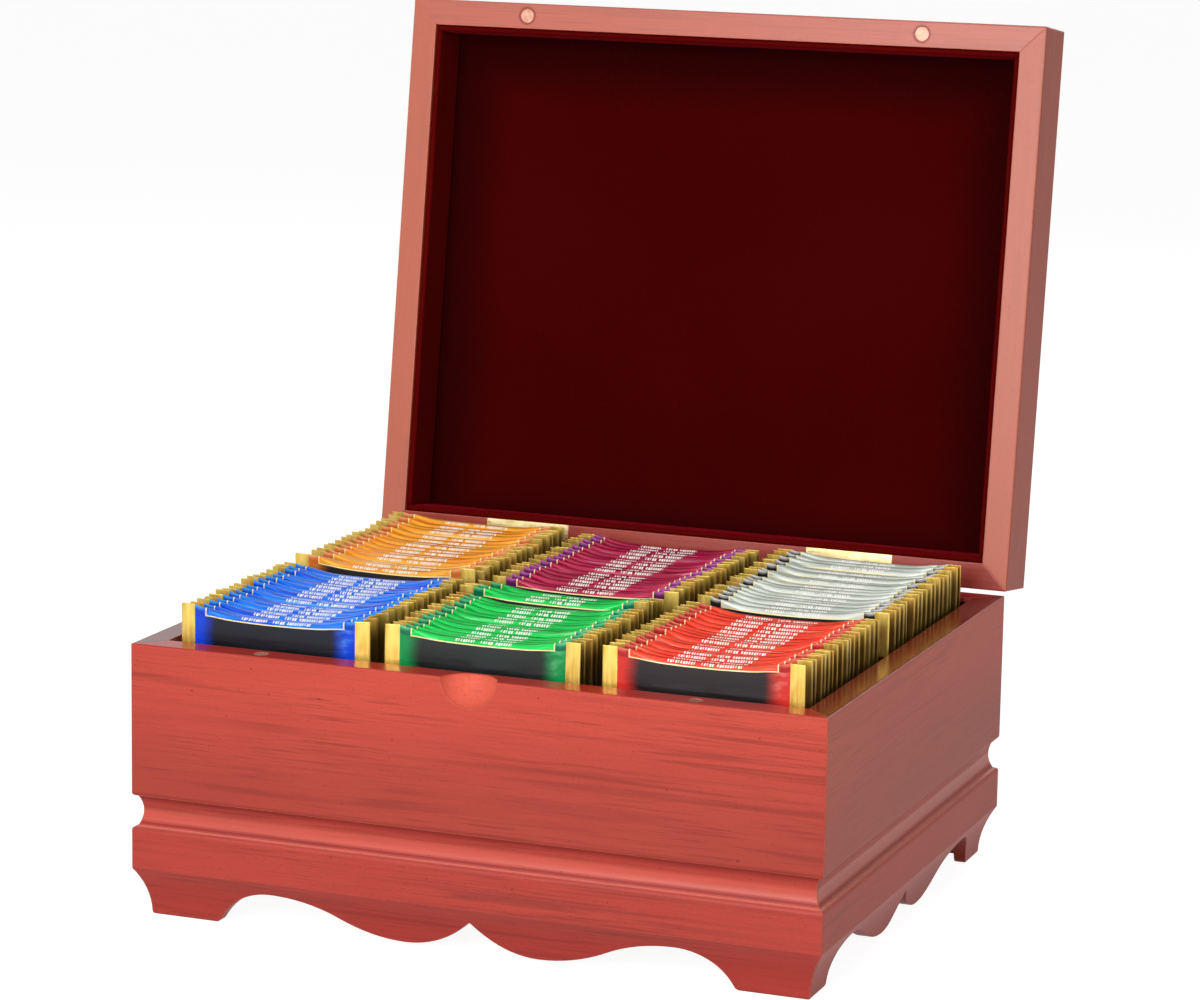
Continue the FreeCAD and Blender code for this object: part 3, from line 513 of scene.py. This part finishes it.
def rounded_box(low, high, radius, step):
    """Points and faces of a closed box with rounded edges, on a grid no wider than step."""
    low, high = np.array(low, float), np.array(high, float)
    radius = min(radius, 0.49 * float((high - low).min()))
    lines = []
    for a, b in zip(low, high):
        inner = max(2, int(math.ceil((b - a - 2 * radius) / step)) + 1)
        lines.append(np.concatenate([a + radius * CORNER_STEPS, np.linspace(a + radius, b - radius, inner),
                                     b - radius * CORNER_STEPS[::-1]]))
    counts = [len(line) for line in lines]
    index, points, faces = {}, [], []

    def vertex(i, j, k):
        if (i, j, k) not in index:
            p = np.array([lines[0][i], lines[1][j], lines[2][k]])
            core = np.clip(p, low + radius, high - radius)
            off = p - core
            index[(i, j, k)] = len(points)
            points.append(core + off * (radius / np.linalg.norm(off)))
        return index[(i, j, k)]

    for axis in range(3):
        b, c = (axis + 1) % 3, (axis + 2) % 3
        for end in (0, counts[axis] - 1):
            for m in range(counts[b] - 1):
                for n in range(counts[c] - 1):
                    corners = []
                    for dm, dn in ((0, 0), (1, 0), (1, 1), (0, 1)):
                        spot = [0, 0, 0]
                        spot[axis], spot[b], spot[c] = end, m + dm, n + dn
                        corners.append(vertex(*spot))
                    faces.append(corners if end else corners[::-1])
    return np.array(points), faces


def node_box(node):
    """Lowest and highest corner of a node; one of the lid is read as if the lid were shut."""
    points = [v.co for v in NODES[node].data.vertices]
    if NODES[node]["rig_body"] == "lid":
        points = [SHUT @ p for p in points]
    points = np.array(points)
    return points.min(0), points.max(0)


def to_open(points):
    """Points of the shut lid, where they lie in the open one."""
    rotation, shift = np.array(OPEN)[:3, :3], np.array(OPEN)[:3, 3]
    return points @ rotation.T + shift


def waves(position, seed, lengths):
    """A smooth wander between -1 and 1 along a line."""
    rng = np.random.default_rng(seed)
    total = np.zeros_like(position)
    for length in lengths:
        total += np.sin(position * (2 * math.pi / length) + rng.uniform(0, 2 * math.pi))
    return total / len(lengths)


# Velvet pieces

CASE_VELVET = ("front_lining", "back_lining", "left_lining", "right_lining", "floor_lining",
               "long_divider", "left_divider", "right_divider")
DIVIDER_DROP = 0.2 * MM        # the cross dividers' velvet lies under that of the long divider
BOARD_ROUND, BOARD_GRID = 0.72 * MM, 6 * MM
BOARD_LIP = 6 * MM             # height of the upper edge of a velvet board that is uneven
PAD_ROUND, PAD_GRID = 1.22 * MM, 3 * MM
PAD_LIP = 9 * MM               # height of the edge of a pad in the lid that stands off its rail
PAD_PLAY = 0.45 * MM           # how far that edge wanders
HINGE_BULGE = (77 * MM, 30 * MM)    # where the hinges push the back pad out, and over what length
CEILING_GAP = np.array([0.2, 0.2, 0.0]) * MM
CEILING_ROUND = 1.0 * MM
CEILING_ROLL = 6.5 * MM        # width of the rolled edge of the ceiling pad
CEILING_RISE = 1.25 * MM       # how far the rolled edge falls back
CEILING_QUILT = 0.25 * MM      # how uneven the middle of the pad is


def case_velvet():
    cloth = velvet("velvet_case", False)
    for number, node in enumerate(CASE_VELVET):
        low, high = node_box(node)
        if node in ("left_divider", "right_divider"):
            high[2] -= DIVIDER_DROP
        points, faces = rounded_box(low, high, BOARD_ROUND, BOARD_GRID)
        along = 0 if high[0] - low[0] > high[1] - low[1] else 1
        if node != "floor_lining":
            lip = np.clip((points[:, 2] - high[2] + BOARD_LIP) / BOARD_LIP, 0, 1)
            points[:, 2] += lip * 0.22 * MM * waves(points[:, along], 40 + number, (0.031, 0.058, 0.013))
            points[:, 1 - along] += lip * 0.12 * MM * waves(points[:, along], 60 + number, (0.047, 0.02))
        piece("velvet_" + node, points, faces, [cloth], "case", node)


def lid_pads():
    # The pads' velvet is painted lighter than the rest, a lit copy of the same cloth.
    cloth = velvet("velvet_lid_pads", True, (86, 6, 5), (92, 8, 6), 0.3)
    for number, side in enumerate(SIDES):
        node = "lid_%s_lining" % side
        low, high = node_box(node)
        points, faces = rounded_box(low, high, PAD_ROUND, PAD_GRID)
        along = 0 if side in ("front", "back") else 1
        thick = 1 - along
        lip = np.clip(1 - (points[:, 2] - low[2]) / PAD_LIP, 0, 1) ** 1.5
        loose = (1.0 if side == "back" else 0.35) * PAD_PLAY
        wander = waves(points[:, along], 80 + number, (0.15, 0.07, 0.034))
        points[:, 2] -= lip * loose * (wander - 0.2)
        bulge = waves(points[:, along], 90 + number, (0.11, 0.052))
        if side == "back":
            at, length = HINGE_BULGE
            x = points[:, 0]
            pushed = np.exp(-((x - at) / length) ** 2) + np.exp(-((x + at) / length) ** 2)
            bulge = bulge * 0.5 + 1.3 * pushed
        free = (points[:, thick] - low[thick]) / (high[thick] - low[thick])
        if side in ("back", "right"):
            points[:, thick] -= lip * (1 - free) * loose * bulge
        else:
            points[:, thick] += lip * free * loose * bulge
        piece("velvet_" + node, to_open(points), faces, [cloth], "lid", node)


def lid_ceiling():
    low, high = node_box("lid_ceiling_lining")
    cloth = velvet("velvet_lid_ceiling", True, rolled=(low, high))
    points, faces = rounded_box(low + CEILING_GAP, high - CEILING_GAP, CEILING_ROUND, PAD_GRID)
    edge = np.minimum.reduce([points[:, 0] - low[0], high[0] - points[:, 0],
                              points[:, 1] - low[1], high[1] - points[:, 1]])
    roll = np.clip(1 - edge / CEILING_ROLL, 0, 1)
    under = (high[2] - points[:, 2]) / (high[2] - low[2])
    quilt = waves(points[:, 0], 7, (0.19, 0.083)) * waves(points[:, 1], 8, (0.16, 0.071))
    points[:, 2] += under * (CEILING_RISE * (1 - np.sqrt(1 - roll ** 2)) - CEILING_QUILT * quilt * (1 - roll))
    piece("velvet_lid_ceiling", to_open(points), faces, [cloth], "lid",
                    "lid_ceiling_lining")


# Sachets, in millimetres

COUNT = 17                 # sachets in a stack
HALF_WIDTH = 42.18         # from the middle of a sachet to its end
HEIGHT = 69.9
SEAL = 6.2                 # width of a crimped end
NECK = HALF_WIDTH - SEAL
RIDGES = 8                 # facets across a crimped end
RIPPLE = 6 * math.pi / SEAL
THIN = 0.28                # half thickness of a crimped end
BELLY = 3.0                # half thickness of the filled middle
SWELL = 17.0               # from the crimped end to the full thickness
SHOULDER = 31.5            # from the middle to where the crest begins to turn to the crimped end
PINCH = 33.4               # from the middle to the dip before the crimped end
LINED = 135.5              # the sachets stay this near to the middle of the case, clear of the shut lid
ROW = 3.6                  # round the foil from the crest to the border of the band
SOLE, SOLE_ROW = 0.6, 20.0    # height of the underside, and its row on the print map
TWIST = (3.0, 3.0)         # degrees that the crimped ends turn back
FRONT_GAP, BACK_GAP = 0.3, 0.9
CAP_STEPS = 10
FACE_DROPS = (1.2, 3.0, 8.0, 17.0, 34.0)
RING = 2 * (CAP_STEPS + len(FACE_DROPS)) + 3
SEAL_STATIONS = np.linspace(HALF_WIDTH, NECK, RIDGES + 1)
BELLY_STATIONS = np.array([35.2, 34.2, 33.0, 31.6, 30.0, 28.0, 25.5, 22.5, 19.0, 15.0, 10.5, 5.5])
STATIONS = np.concatenate([-SEAL_STATIONS, -BELLY_STATIONS, [0.0], BELLY_STATIONS[::-1], SEAL_STATIONS[::-1]])


def crimped(away):
    return away >= NECK - 1e-6


def cap(half):
    """Half of the section over the filling: how far out, how far down and how far along the foil."""
    turn = np.linspace(0.0, math.pi / 2, CAP_STEPS + 1)
    out = half * np.sin(turn) ** 0.9
    down = half * 0.95 * (1 - np.cos(turn) ** 0.9)
    run = np.concatenate([[0.0], np.cumsum(np.hypot(np.diff(out), np.diff(down)))])
    return out, down, run


class Sachet:
    """One sachet about its own middle: its points and their places on the print map. front is how far its
    crimped ends lie forward, twist how far they turn back, rise how far it stands up and sag how far its
    crest dips. Each sachet draws its own small deviations, all before its shape is worked out."""

    def __init__(self, rng, front, twist, rise, sag):
        self.front = front
        self.height = HEIGHT + rise + rng.uniform(-0.35, 0.35)
        self.slope = rng.uniform(-0.45, 0.45)
        self.lean = rng.uniform(-0.25, 0.25)
        self.dent = sag + rng.uniform(-0.35, 0.35)
        self.phase = rng.uniform(0, 2 * math.pi, 6)
        self.ends = self.height + rng.uniform(-0.1, 0.6, 2)
        self.turns = np.radians(np.array(twist) + rng.normal(0, 6, 2))
        sections = [self.section(u) for u in STATIONS]
        self.points = np.array([point for points, _ in sections for point in points])
        self.prints = [place for _, places in sections for place in places]

    def section(self, u):
        """The ring of points at u from the middle, and their places on the print map."""
        side = 0 if u < 0 else 1
        away = abs(u)
        swell = min(1.0, max(0.0, (NECK - away) / SWELL))
        full = swell * swell * (3 - 2 * swell)
        half = THIN + (BELLY - THIN) * full
        out, down, run = cap(half)
        across, swing, gather = u, -self.front * (BELLY - 0.5) * (1 - full), 0.0
        if crimped(away):
            beyond, turn = away - NECK, self.turns[side]
            top = self.ends[side] + 0.10 * math.sin(away * 3.1 + self.phase[side])
            across = math.copysign(NECK + beyond * math.cos(turn), u)
            swing += 0.13 * math.sin(beyond * RIPPLE) + beyond * math.sin(turn)
        else:
            slant = self.slope * u / 42.0
            turning = min(1.0, max(0.0, (away - SHOULDER) / (NECK - SHOULDER)))
            top = self.height - (run[-1] - down[-1]) + slant - self.dent * full * (1 - (away / NECK) ** 2)
            top += turning * (self.ends[side] - self.height - slant)
            top -= 0.35 * math.exp(-((away - PINCH) / 1.1) ** 2)
            gather = 0.30 * math.exp(-((away - 33.0) / 4.0) ** 2)

        flank = [(out[step], top - down[step], run[step] / ROW) for step in range(1, CAP_STEPS + 1)]
        flank += [(half, top - down[-1] - drop, (run[-1] + drop) / ROW) for drop in FACE_DROPS]
        other_flank = [(-y, z, -row) for y, z, row in reversed(flank)]
        soles = [(half * 0.7, SOLE, SOLE_ROW), (-half * 0.7, SOLE, -SOLE_ROW)]
        points, prints = [], []
        for y, z, row in other_flank + [(0.0, top, 0.0)] + flank + soles:
            crease = gather * math.sin(z * 1.35 + self.phase[2 + side]) * math.sin(z * 0.47 + self.phase[4])
            inwards = math.copysign(crease, -y) if abs(row) >= 1.0 else 0.0
            points.append((across, y + (swing + self.lean * (z / 70.0)) + inwards, z))
            prints.append((u / 100.0, row))
        return points, prints


def sachet_faces():
    """The faces of any sachet, and which of them are gold."""
    faces, gold = [], []
    for s, (here, there) in enumerate(zip(STATIONS, STATIONS[1:])):
        for k in range(RING):
            n = (k + 1) % RING
            faces.append((s * RING + k, (s + 1) * RING + k, (s + 1) * RING + n, s * RING + n))
            gold.append(crimped(min(abs(here), abs(there))))
    last = (len(STATIONS) - 1) * RING
    faces += [tuple(range(RING)), tuple(last + k for k in reversed(range(RING)))]
    return faces, gold + [True, True]


def sachet_stack(node, material, gold, seed, drift, sag, twists, raised):
    """A row of sachets in the place of the node. drift is how far its first and last sachet stand off the
    middle, sag how far these two dip between their ends, twists how far which sachets' ends turn back, raised
    which sachets stand up and by how much."""
    rng = np.random.default_rng(seed)
    low, high = (np.array(corner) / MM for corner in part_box(node))
    centre = (low[0] + high[0]) / 2
    room = LINED - HALF_WIDTH
    first, last = low[1] + BELLY + FRONT_GAP, high[1] - BELLY - BACK_GAP
    one, one_gold = sachet_faces()
    points, faces, golden, prints, seeds = [], [], [], [], []
    for number in range(COUNT):
        share = number / (COUNT - 1)
        y = first + (last - first) * share + (rng.uniform(-0.45, 0.45) if 0 < number < COUNT - 1 else 0.0)
        made = Sachet(rng, 0.35 if number else 1.0, twists.get(number, TWIST), raised.get(number, 0.0),
                      sag[0] + (sag[1] - sag[0]) * share)
        shift = drift[0] + (drift[1] - drift[0]) * share + rng.normal(0, 0.3)
        middle = min(max(centre + shift, -room), room)
        tilt = math.radians(rng.normal(0, 0.3))
        across, deep, up = made.points.T
        x = across * math.cos(tilt) - (up - 36) * math.sin(tilt) + middle
        start = len(points)
        points += [(a * MM, b * MM, (low[2] + c) * MM) for a, b, c in zip(x, deep + y, up)]
        faces += [[start + i for i in face] for face in one]
        golden += one_gold
        prints += made.prints
        seeds += [rng.uniform(0.06, 1.0) if number else 0.01] * len(up)
    mesh = piece("foil_" + node, points, faces, [material, gold], "case",
                 node).data
    mesh.polygons.foreach_set("material_index", [1 if is_gold else 0 for is_gold in golden])
    indices = np.zeros(len(mesh.loops), np.int32)
    mesh.loops.foreach_get("vertex_index", indices)
    flat = np.array(prints, np.float32)
    mesh.uv_layers.new(name="print").data.foreach_set("uv", flat[indices].ravel())
    mesh.attributes.new("sachet", "FLOAT", "POINT").data.foreach_set("value", np.array(seeds, np.float32))


# Of each stack: its colour's name, bright and deep shade of the band, shoulder in painted shade, its painted
# highlight, painted glint, panel, panel towards its ends, and the half length of the rows of strokes
FOILS = {
    "front_left": ("blue", (0, 126, 252), (0, 78, 220), (2, 62, 196), (60, 160, 255), (120, 205, 255),
                   (20, 24, 36), (2, 70, 224), 15.5),
    "front_middle": ("green", (0, 216, 88), (0, 180, 70), (4, 108, 72), (90, 204, 140), (150, 245, 170),
                     (34, 41, 39), (8, 146, 74), 12.0),
    "front_right": ("red", (255, 78, 46), (252, 50, 28), (176, 32, 32), (240, 108, 92), (255, 190, 176),
                    (42, 34, 35), (214, 50, 42), 15.5),
    "rear_left": ("orange", (255, 176, 50), (252, 148, 28), (216, 108, 44), (252, 172, 112), (255, 214, 150),
                  (48, 44, 42), (230, 130, 56), 15.0),
    "rear_middle": ("wine", (194, 36, 80), (154, 20, 58), (92, 24, 84), (196, 92, 176), (240, 170, 200),
                    (40, 36, 44), (140, 50, 100), 13.0),
    "rear_right": ("silver", (228, 234, 222), (196, 204, 190), (26, 26, 28), (222, 224, 218), (255, 255, 255),
                   (36, 38, 42), (60, 62, 66), 12.0),
}
# Of each stack: drift, sag, twists and raised, as sachet_stack takes them
STACKS = {
    "front_left": ((1.3, 0.4), (1.9, 1.6),
                   {1: (0, 46), 2: (2, 52), 3: (2, 50), 4: (2, 44), 5: (2, 30), 6: (2, 12)}, {0: 0.4}),
    "front_middle": ((0.5, -0.6), (1.2, 1.2), {0: (0, 0)}, {0: 0.6, 1: 0.4, 13: 1.4, 14: 1.8}),
    "front_right": ((0.8, -0.4), (1.8, 1.4), {0: (0, 0)},
                    {0: 1.9, 1: 1.6, 2: 1.3, 3: 1.1, 4: 0.8, 5: 0.5, 7: 1.2}),
    "rear_left": ((0.8, 0.5), (1.4, 0.5), {}, {0: 1.6, 12: 0.5, 13: 0.9, 14: 1.3, 15: 1.7, 16: 2.0}),
    "rear_middle": ((0.8, 2.0), (1.4, 1.0), {}, {}),
    "rear_right": ((0.2, 0.9), (1.3, 0.2), {}, {9: 1.0, 11: 1.2, 13: 0.4, 14: 0.9, 15: 1.4, 16: 1.8}),
}


def sachets():
    gold = gold_foil()
    for number, (place, (colour, *shades, reach)) in enumerate(FOILS.items()):
        foil = printed_foil("foil_" + colour, *(srgb(*shade) for shade in shades), reach)
        sachet_stack("tea_sachets_" + place, foil, gold, 100 + number, *STACKS[place])


# Everything carried over

# Of each kind of board: its nodes' names, tint, gloss in front and at the back, gloss at the sides
WALL, BASE, RAIL = range(3)
BOARDS = (
    ("%s_wall", (0.97, 1.0, 1.0), 0.14, 0.26),
    ("%s_base_moulding", (0.78, 0.67, 0.67), 0.3, 0.24),
    ("lid_%s_rail", (0.80, 0.92, 0.86), 0.3, 0.26),
)
# Painted light: the boards that face left and right take this tint, a differently lit copy of the lacquer
SIDE_LIGHT_TINT = (0.92, 0.98, 0.66)
SIDE_FIGURE = 0.6              # how much of the grain shows in the side boards
# Painted light on the rims, how much of which colour: painted shade on the rims of the case, a painted
# highlight on the lid's front and side rails, and darker on its back rail
FRONT_RIM_SHADE = (0.7, (176, 34, 18))
SIDE_RIM_SHADE = (0.8, (100, 8, 4))
LID_RIM_HIGHLIGHT = (0.45, (218, 138, 118))
BACK_RIM_DARKER = (0.45, (142, 54, 50))


def magnet_spots():
    """Where the two magnets stand in the lid, read as if it were shut."""
    low, high = node_box("lid_magnets")
    radius = (high[1] - low[1]) / 2
    return [(x, (low[1] + high[1]) / 2) for x in (low[0] + radius, high[0] - radius)]


def board(node, side, kind, offset):
    """The lacquer of one board of the case, its base or the lid."""
    low, high = node_box(node)
    across = side in ("left", "right")
    _, tint, *gloss = BOARDS[kind]
    if across:
        # Painted light: the side boards' lacquer is a differently lit copy.
        tint = [first * second for first, second in zip(SIDE_LIGHT_TINT, tint)]
    paint = Lacquer("lacquer_" + node, int(across), kind == RAIL, offset, tint, gloss[across])
    paint.lay_grain(SIDE_FIGURE if across else 1.0)
    if kind == BASE:
        paint.shade_base()
    elif kind == WALL:
        paint.shine_and_light_rim(high[2], SIDE_RIM_SHADE if across else FRONT_RIM_SHADE)
    else:
        paint.shine_and_light_rim(low[2], BACK_RIM_DARKER if side == "back" else LID_RIM_HIGHLIGHT)
    if node == "front_wall":
        paint.paint_scoop_light(low[1], high[2])
    if node == "lid_front_rail":
        paint.ring_magnets(magnet_spots())
    return paint.finish()


def dress_nodes():
    brass = metal("pale_brass", (238, 220, 166), (220, 192, 128), 0.26, (0.1, 1.0, 1.0))
    screws = metal("screw_brass", (222, 196, 130), (190, 156, 92), 0.30)
    nickel = metal("nickel", (196, 150, 130), (160, 112, 96), 0.46)
    made = {"floor_panel": bare_wood(), "box_magnets": nickel, "lid_magnets": nickel,
            "hinge_box_screws": screws, "hinge_lid_screws": screws}
    for number, side in enumerate(SIDES):
        for kind, (pattern, *_) in enumerate(BOARDS):
            node = pattern % side
            made[node] = board(node, side, kind, 0.37 * number + 1.3 * kind)
    top = Lacquer("lacquer_lid_top_panel", 0, True, 5.1, (1.0, 1.0, 1.0), 0.2)
    top.lay_grain(1.0)
    made["lid_top_panel"] = top.finish()
    for node, thing in NODES.items():
        if not thing.hide_render:
            thing.data.materials.clear()
            thing.data.materials.append(made.get(node, brass))


# Floor, backdrop, lights and camera

FLOOR_SIZE = 14.0
SHADED_FLOOR = (0.3, 0.3, 0.3, 1.0)     # what the shadows take from the floor as the camera sees it
GLOWING_FLOOR = (0.93, 0.93, 0.93, 1.0)
ROOM_LIGHT = 0.13                       # light of the room on the object, where white is 1
# Of each light: place, aim, width, height and radiance
LIGHTS = {
    "key": ((-0.07, -1.37, 0.62), (0.0, 0.0, 0.14), 0.76, 0.68, 9.0),
    "top": ((0.0, -0.7, 1.3), (0.0, 0.0, 0.1), 0.8, 0.6, 2.3),
    "fill": ((1.5, -0.8, 0.5), (0.0, 0.0, 0.14), 0.8, 0.8, 3.0),
    "left": ((-1.7, 0.2, 0.45), (0.0, 0.0, 0.14), 0.8, 0.8, 3.2),
    "back": ((0.2, 1.6, 1.15), (0.0, 0.1, 0.2), 0.6, 0.6, 7.0),
}
AZIMUTH, ELEVATION, ROLL = (math.radians(angle) for angle in (21.104, 10.854, 0.975))
CAMERA_AT = (0.627864, -1.61038, 0.497784)
IMAGE_WIDTH = 1200.0                    # pixels
FOCAL_LENGTH = 4180.9                   # pixels
SHIFT = (1.5, 1.3)                      # pixels
SENSOR_WIDTH = 36.0


def stage():
    bpy.ops.mesh.primitive_grid_add(x_subdivisions=4, y_subdivisions=4, size=FLOOR_SIZE)
    floor = bpy.context.object
    floor.name = "floor"
    paint = Paint("floor", Roughness=0.9, Specular_IOR_Level=0.1)
    grain = paint.noise(paint.place(), 60.0, 3.0)
    paint.set(Base_Color=paint.mix(grain, srgb(186, 184, 180), srgb(192, 190, 186)))
    path = paint.add("LightPath").outputs
    seen = paint.math("MAXIMUM", path["Is Glossy Ray"], path["Is Transmission Ray"])
    seen = paint.math("MAXIMUM", path["Is Camera Ray"], seen)
    # Seen by the camera, the floor is white and keeps a faint shadow.
    shade = paint.add("BsdfDiffuse", {"Color": SHADED_FLOOR})
    glow = paint.add("Emission", {"Color": GLOWING_FLOOR, "Strength": 1.0})
    white = paint.add("AddShader", {0: shade.outputs[0], 1: glow.outputs[0]})
    both = paint.add("MixShader", {0: seen, 1: paint.shader.outputs[0], 2: white.outputs[0]})
    paint.tree.links.new(both.outputs[0], paint.tree.nodes["Material Output"].inputs["Surface"])
    floor.data.materials.append(paint.material)


def backdrop():
    """White where the camera or a reflection sees it, and a dim light elsewhere."""
    world = bpy.data.worlds.new("studio")
    bpy.context.scene.world = world
    world.use_nodes = True
    tree = world.node_tree
    path = tree.nodes.new("ShaderNodeLightPath").outputs
    seen = path["Is Camera Ray"]
    for ray in ("Is Glossy Ray", "Is Transmission Ray"):
        both = tree.nodes.new("ShaderNodeMath")
        both.operation = "MAXIMUM"
        tree.links.new(seen, both.inputs[0])
        tree.links.new(path[ray], both.inputs[1])
        seen = both.outputs[0]
    strength = tree.nodes.new("ShaderNodeMapRange")
    strength.inputs["To Min"].default_value = ROOM_LIGHT
    strength.inputs["To Max"].default_value = 1.0
    tree.links.new(seen, strength.inputs["Value"])
    background = tree.nodes["Background"]
    tree.links.new(strength.outputs[0], background.inputs["Strength"])
    background.inputs["Color"].default_value = (1.0, 1.0, 1.0, 1.0)


def softbox(name, place, aim, width, height, radiance):
    light = bpy.data.lights.new(name, "AREA")
    light.shape = "RECTANGLE"
    light.size, light.size_y = width, height
    light.energy = radiance * math.pi * width * height
    lamp = bpy.data.objects.new(name, light)
    lamp.location = place
    lamp.rotation_euler = (Vector(aim) - Vector(place)).to_track_quat("-Z", "Y").to_euler()
    bpy.context.scene.collection.objects.link(lamp)


def camera():
    level = math.cos(ELEVATION)
    back = Vector((math.sin(AZIMUTH) * level, -math.cos(AZIMUTH) * level, math.sin(ELEVATION)))
    right = Vector((math.cos(AZIMUTH), math.sin(AZIMUTH), 0.0))
    up = back.cross(right)
    right, up = (math.cos(ROLL) * right + math.sin(ROLL) * up, -math.sin(ROLL) * right + math.cos(ROLL) * up)
    data = bpy.data.cameras.new("camera")
    data.sensor_fit = "HORIZONTAL"
    data.sensor_width = SENSOR_WIDTH
    data.lens = FOCAL_LENGTH * SENSOR_WIDTH / IMAGE_WIDTH
    data.shift_x, data.shift_y = (pixels / IMAGE_WIDTH for pixels in SHIFT)
    data.clip_start, data.clip_end = 0.05, 50.0
    view = bpy.data.objects.new("camera", data)
    basis = Matrix((right, up, back)).transposed().to_4x4()
    view.matrix_world = Matrix.Translation(CAMERA_AT) @ basis
    bpy.context.scene.collection.objects.link(view)
    bpy.context.scene.camera = view


case_velvet()
lid_pads()
lid_ceiling()
sachets()
dress_nodes()
stage()
backdrop()
for light_name, light_settings in LIGHTS.items():
    softbox(light_name, *light_settings)
camera()
bpy.context.scene.view_settings.view_transform = "Standard"
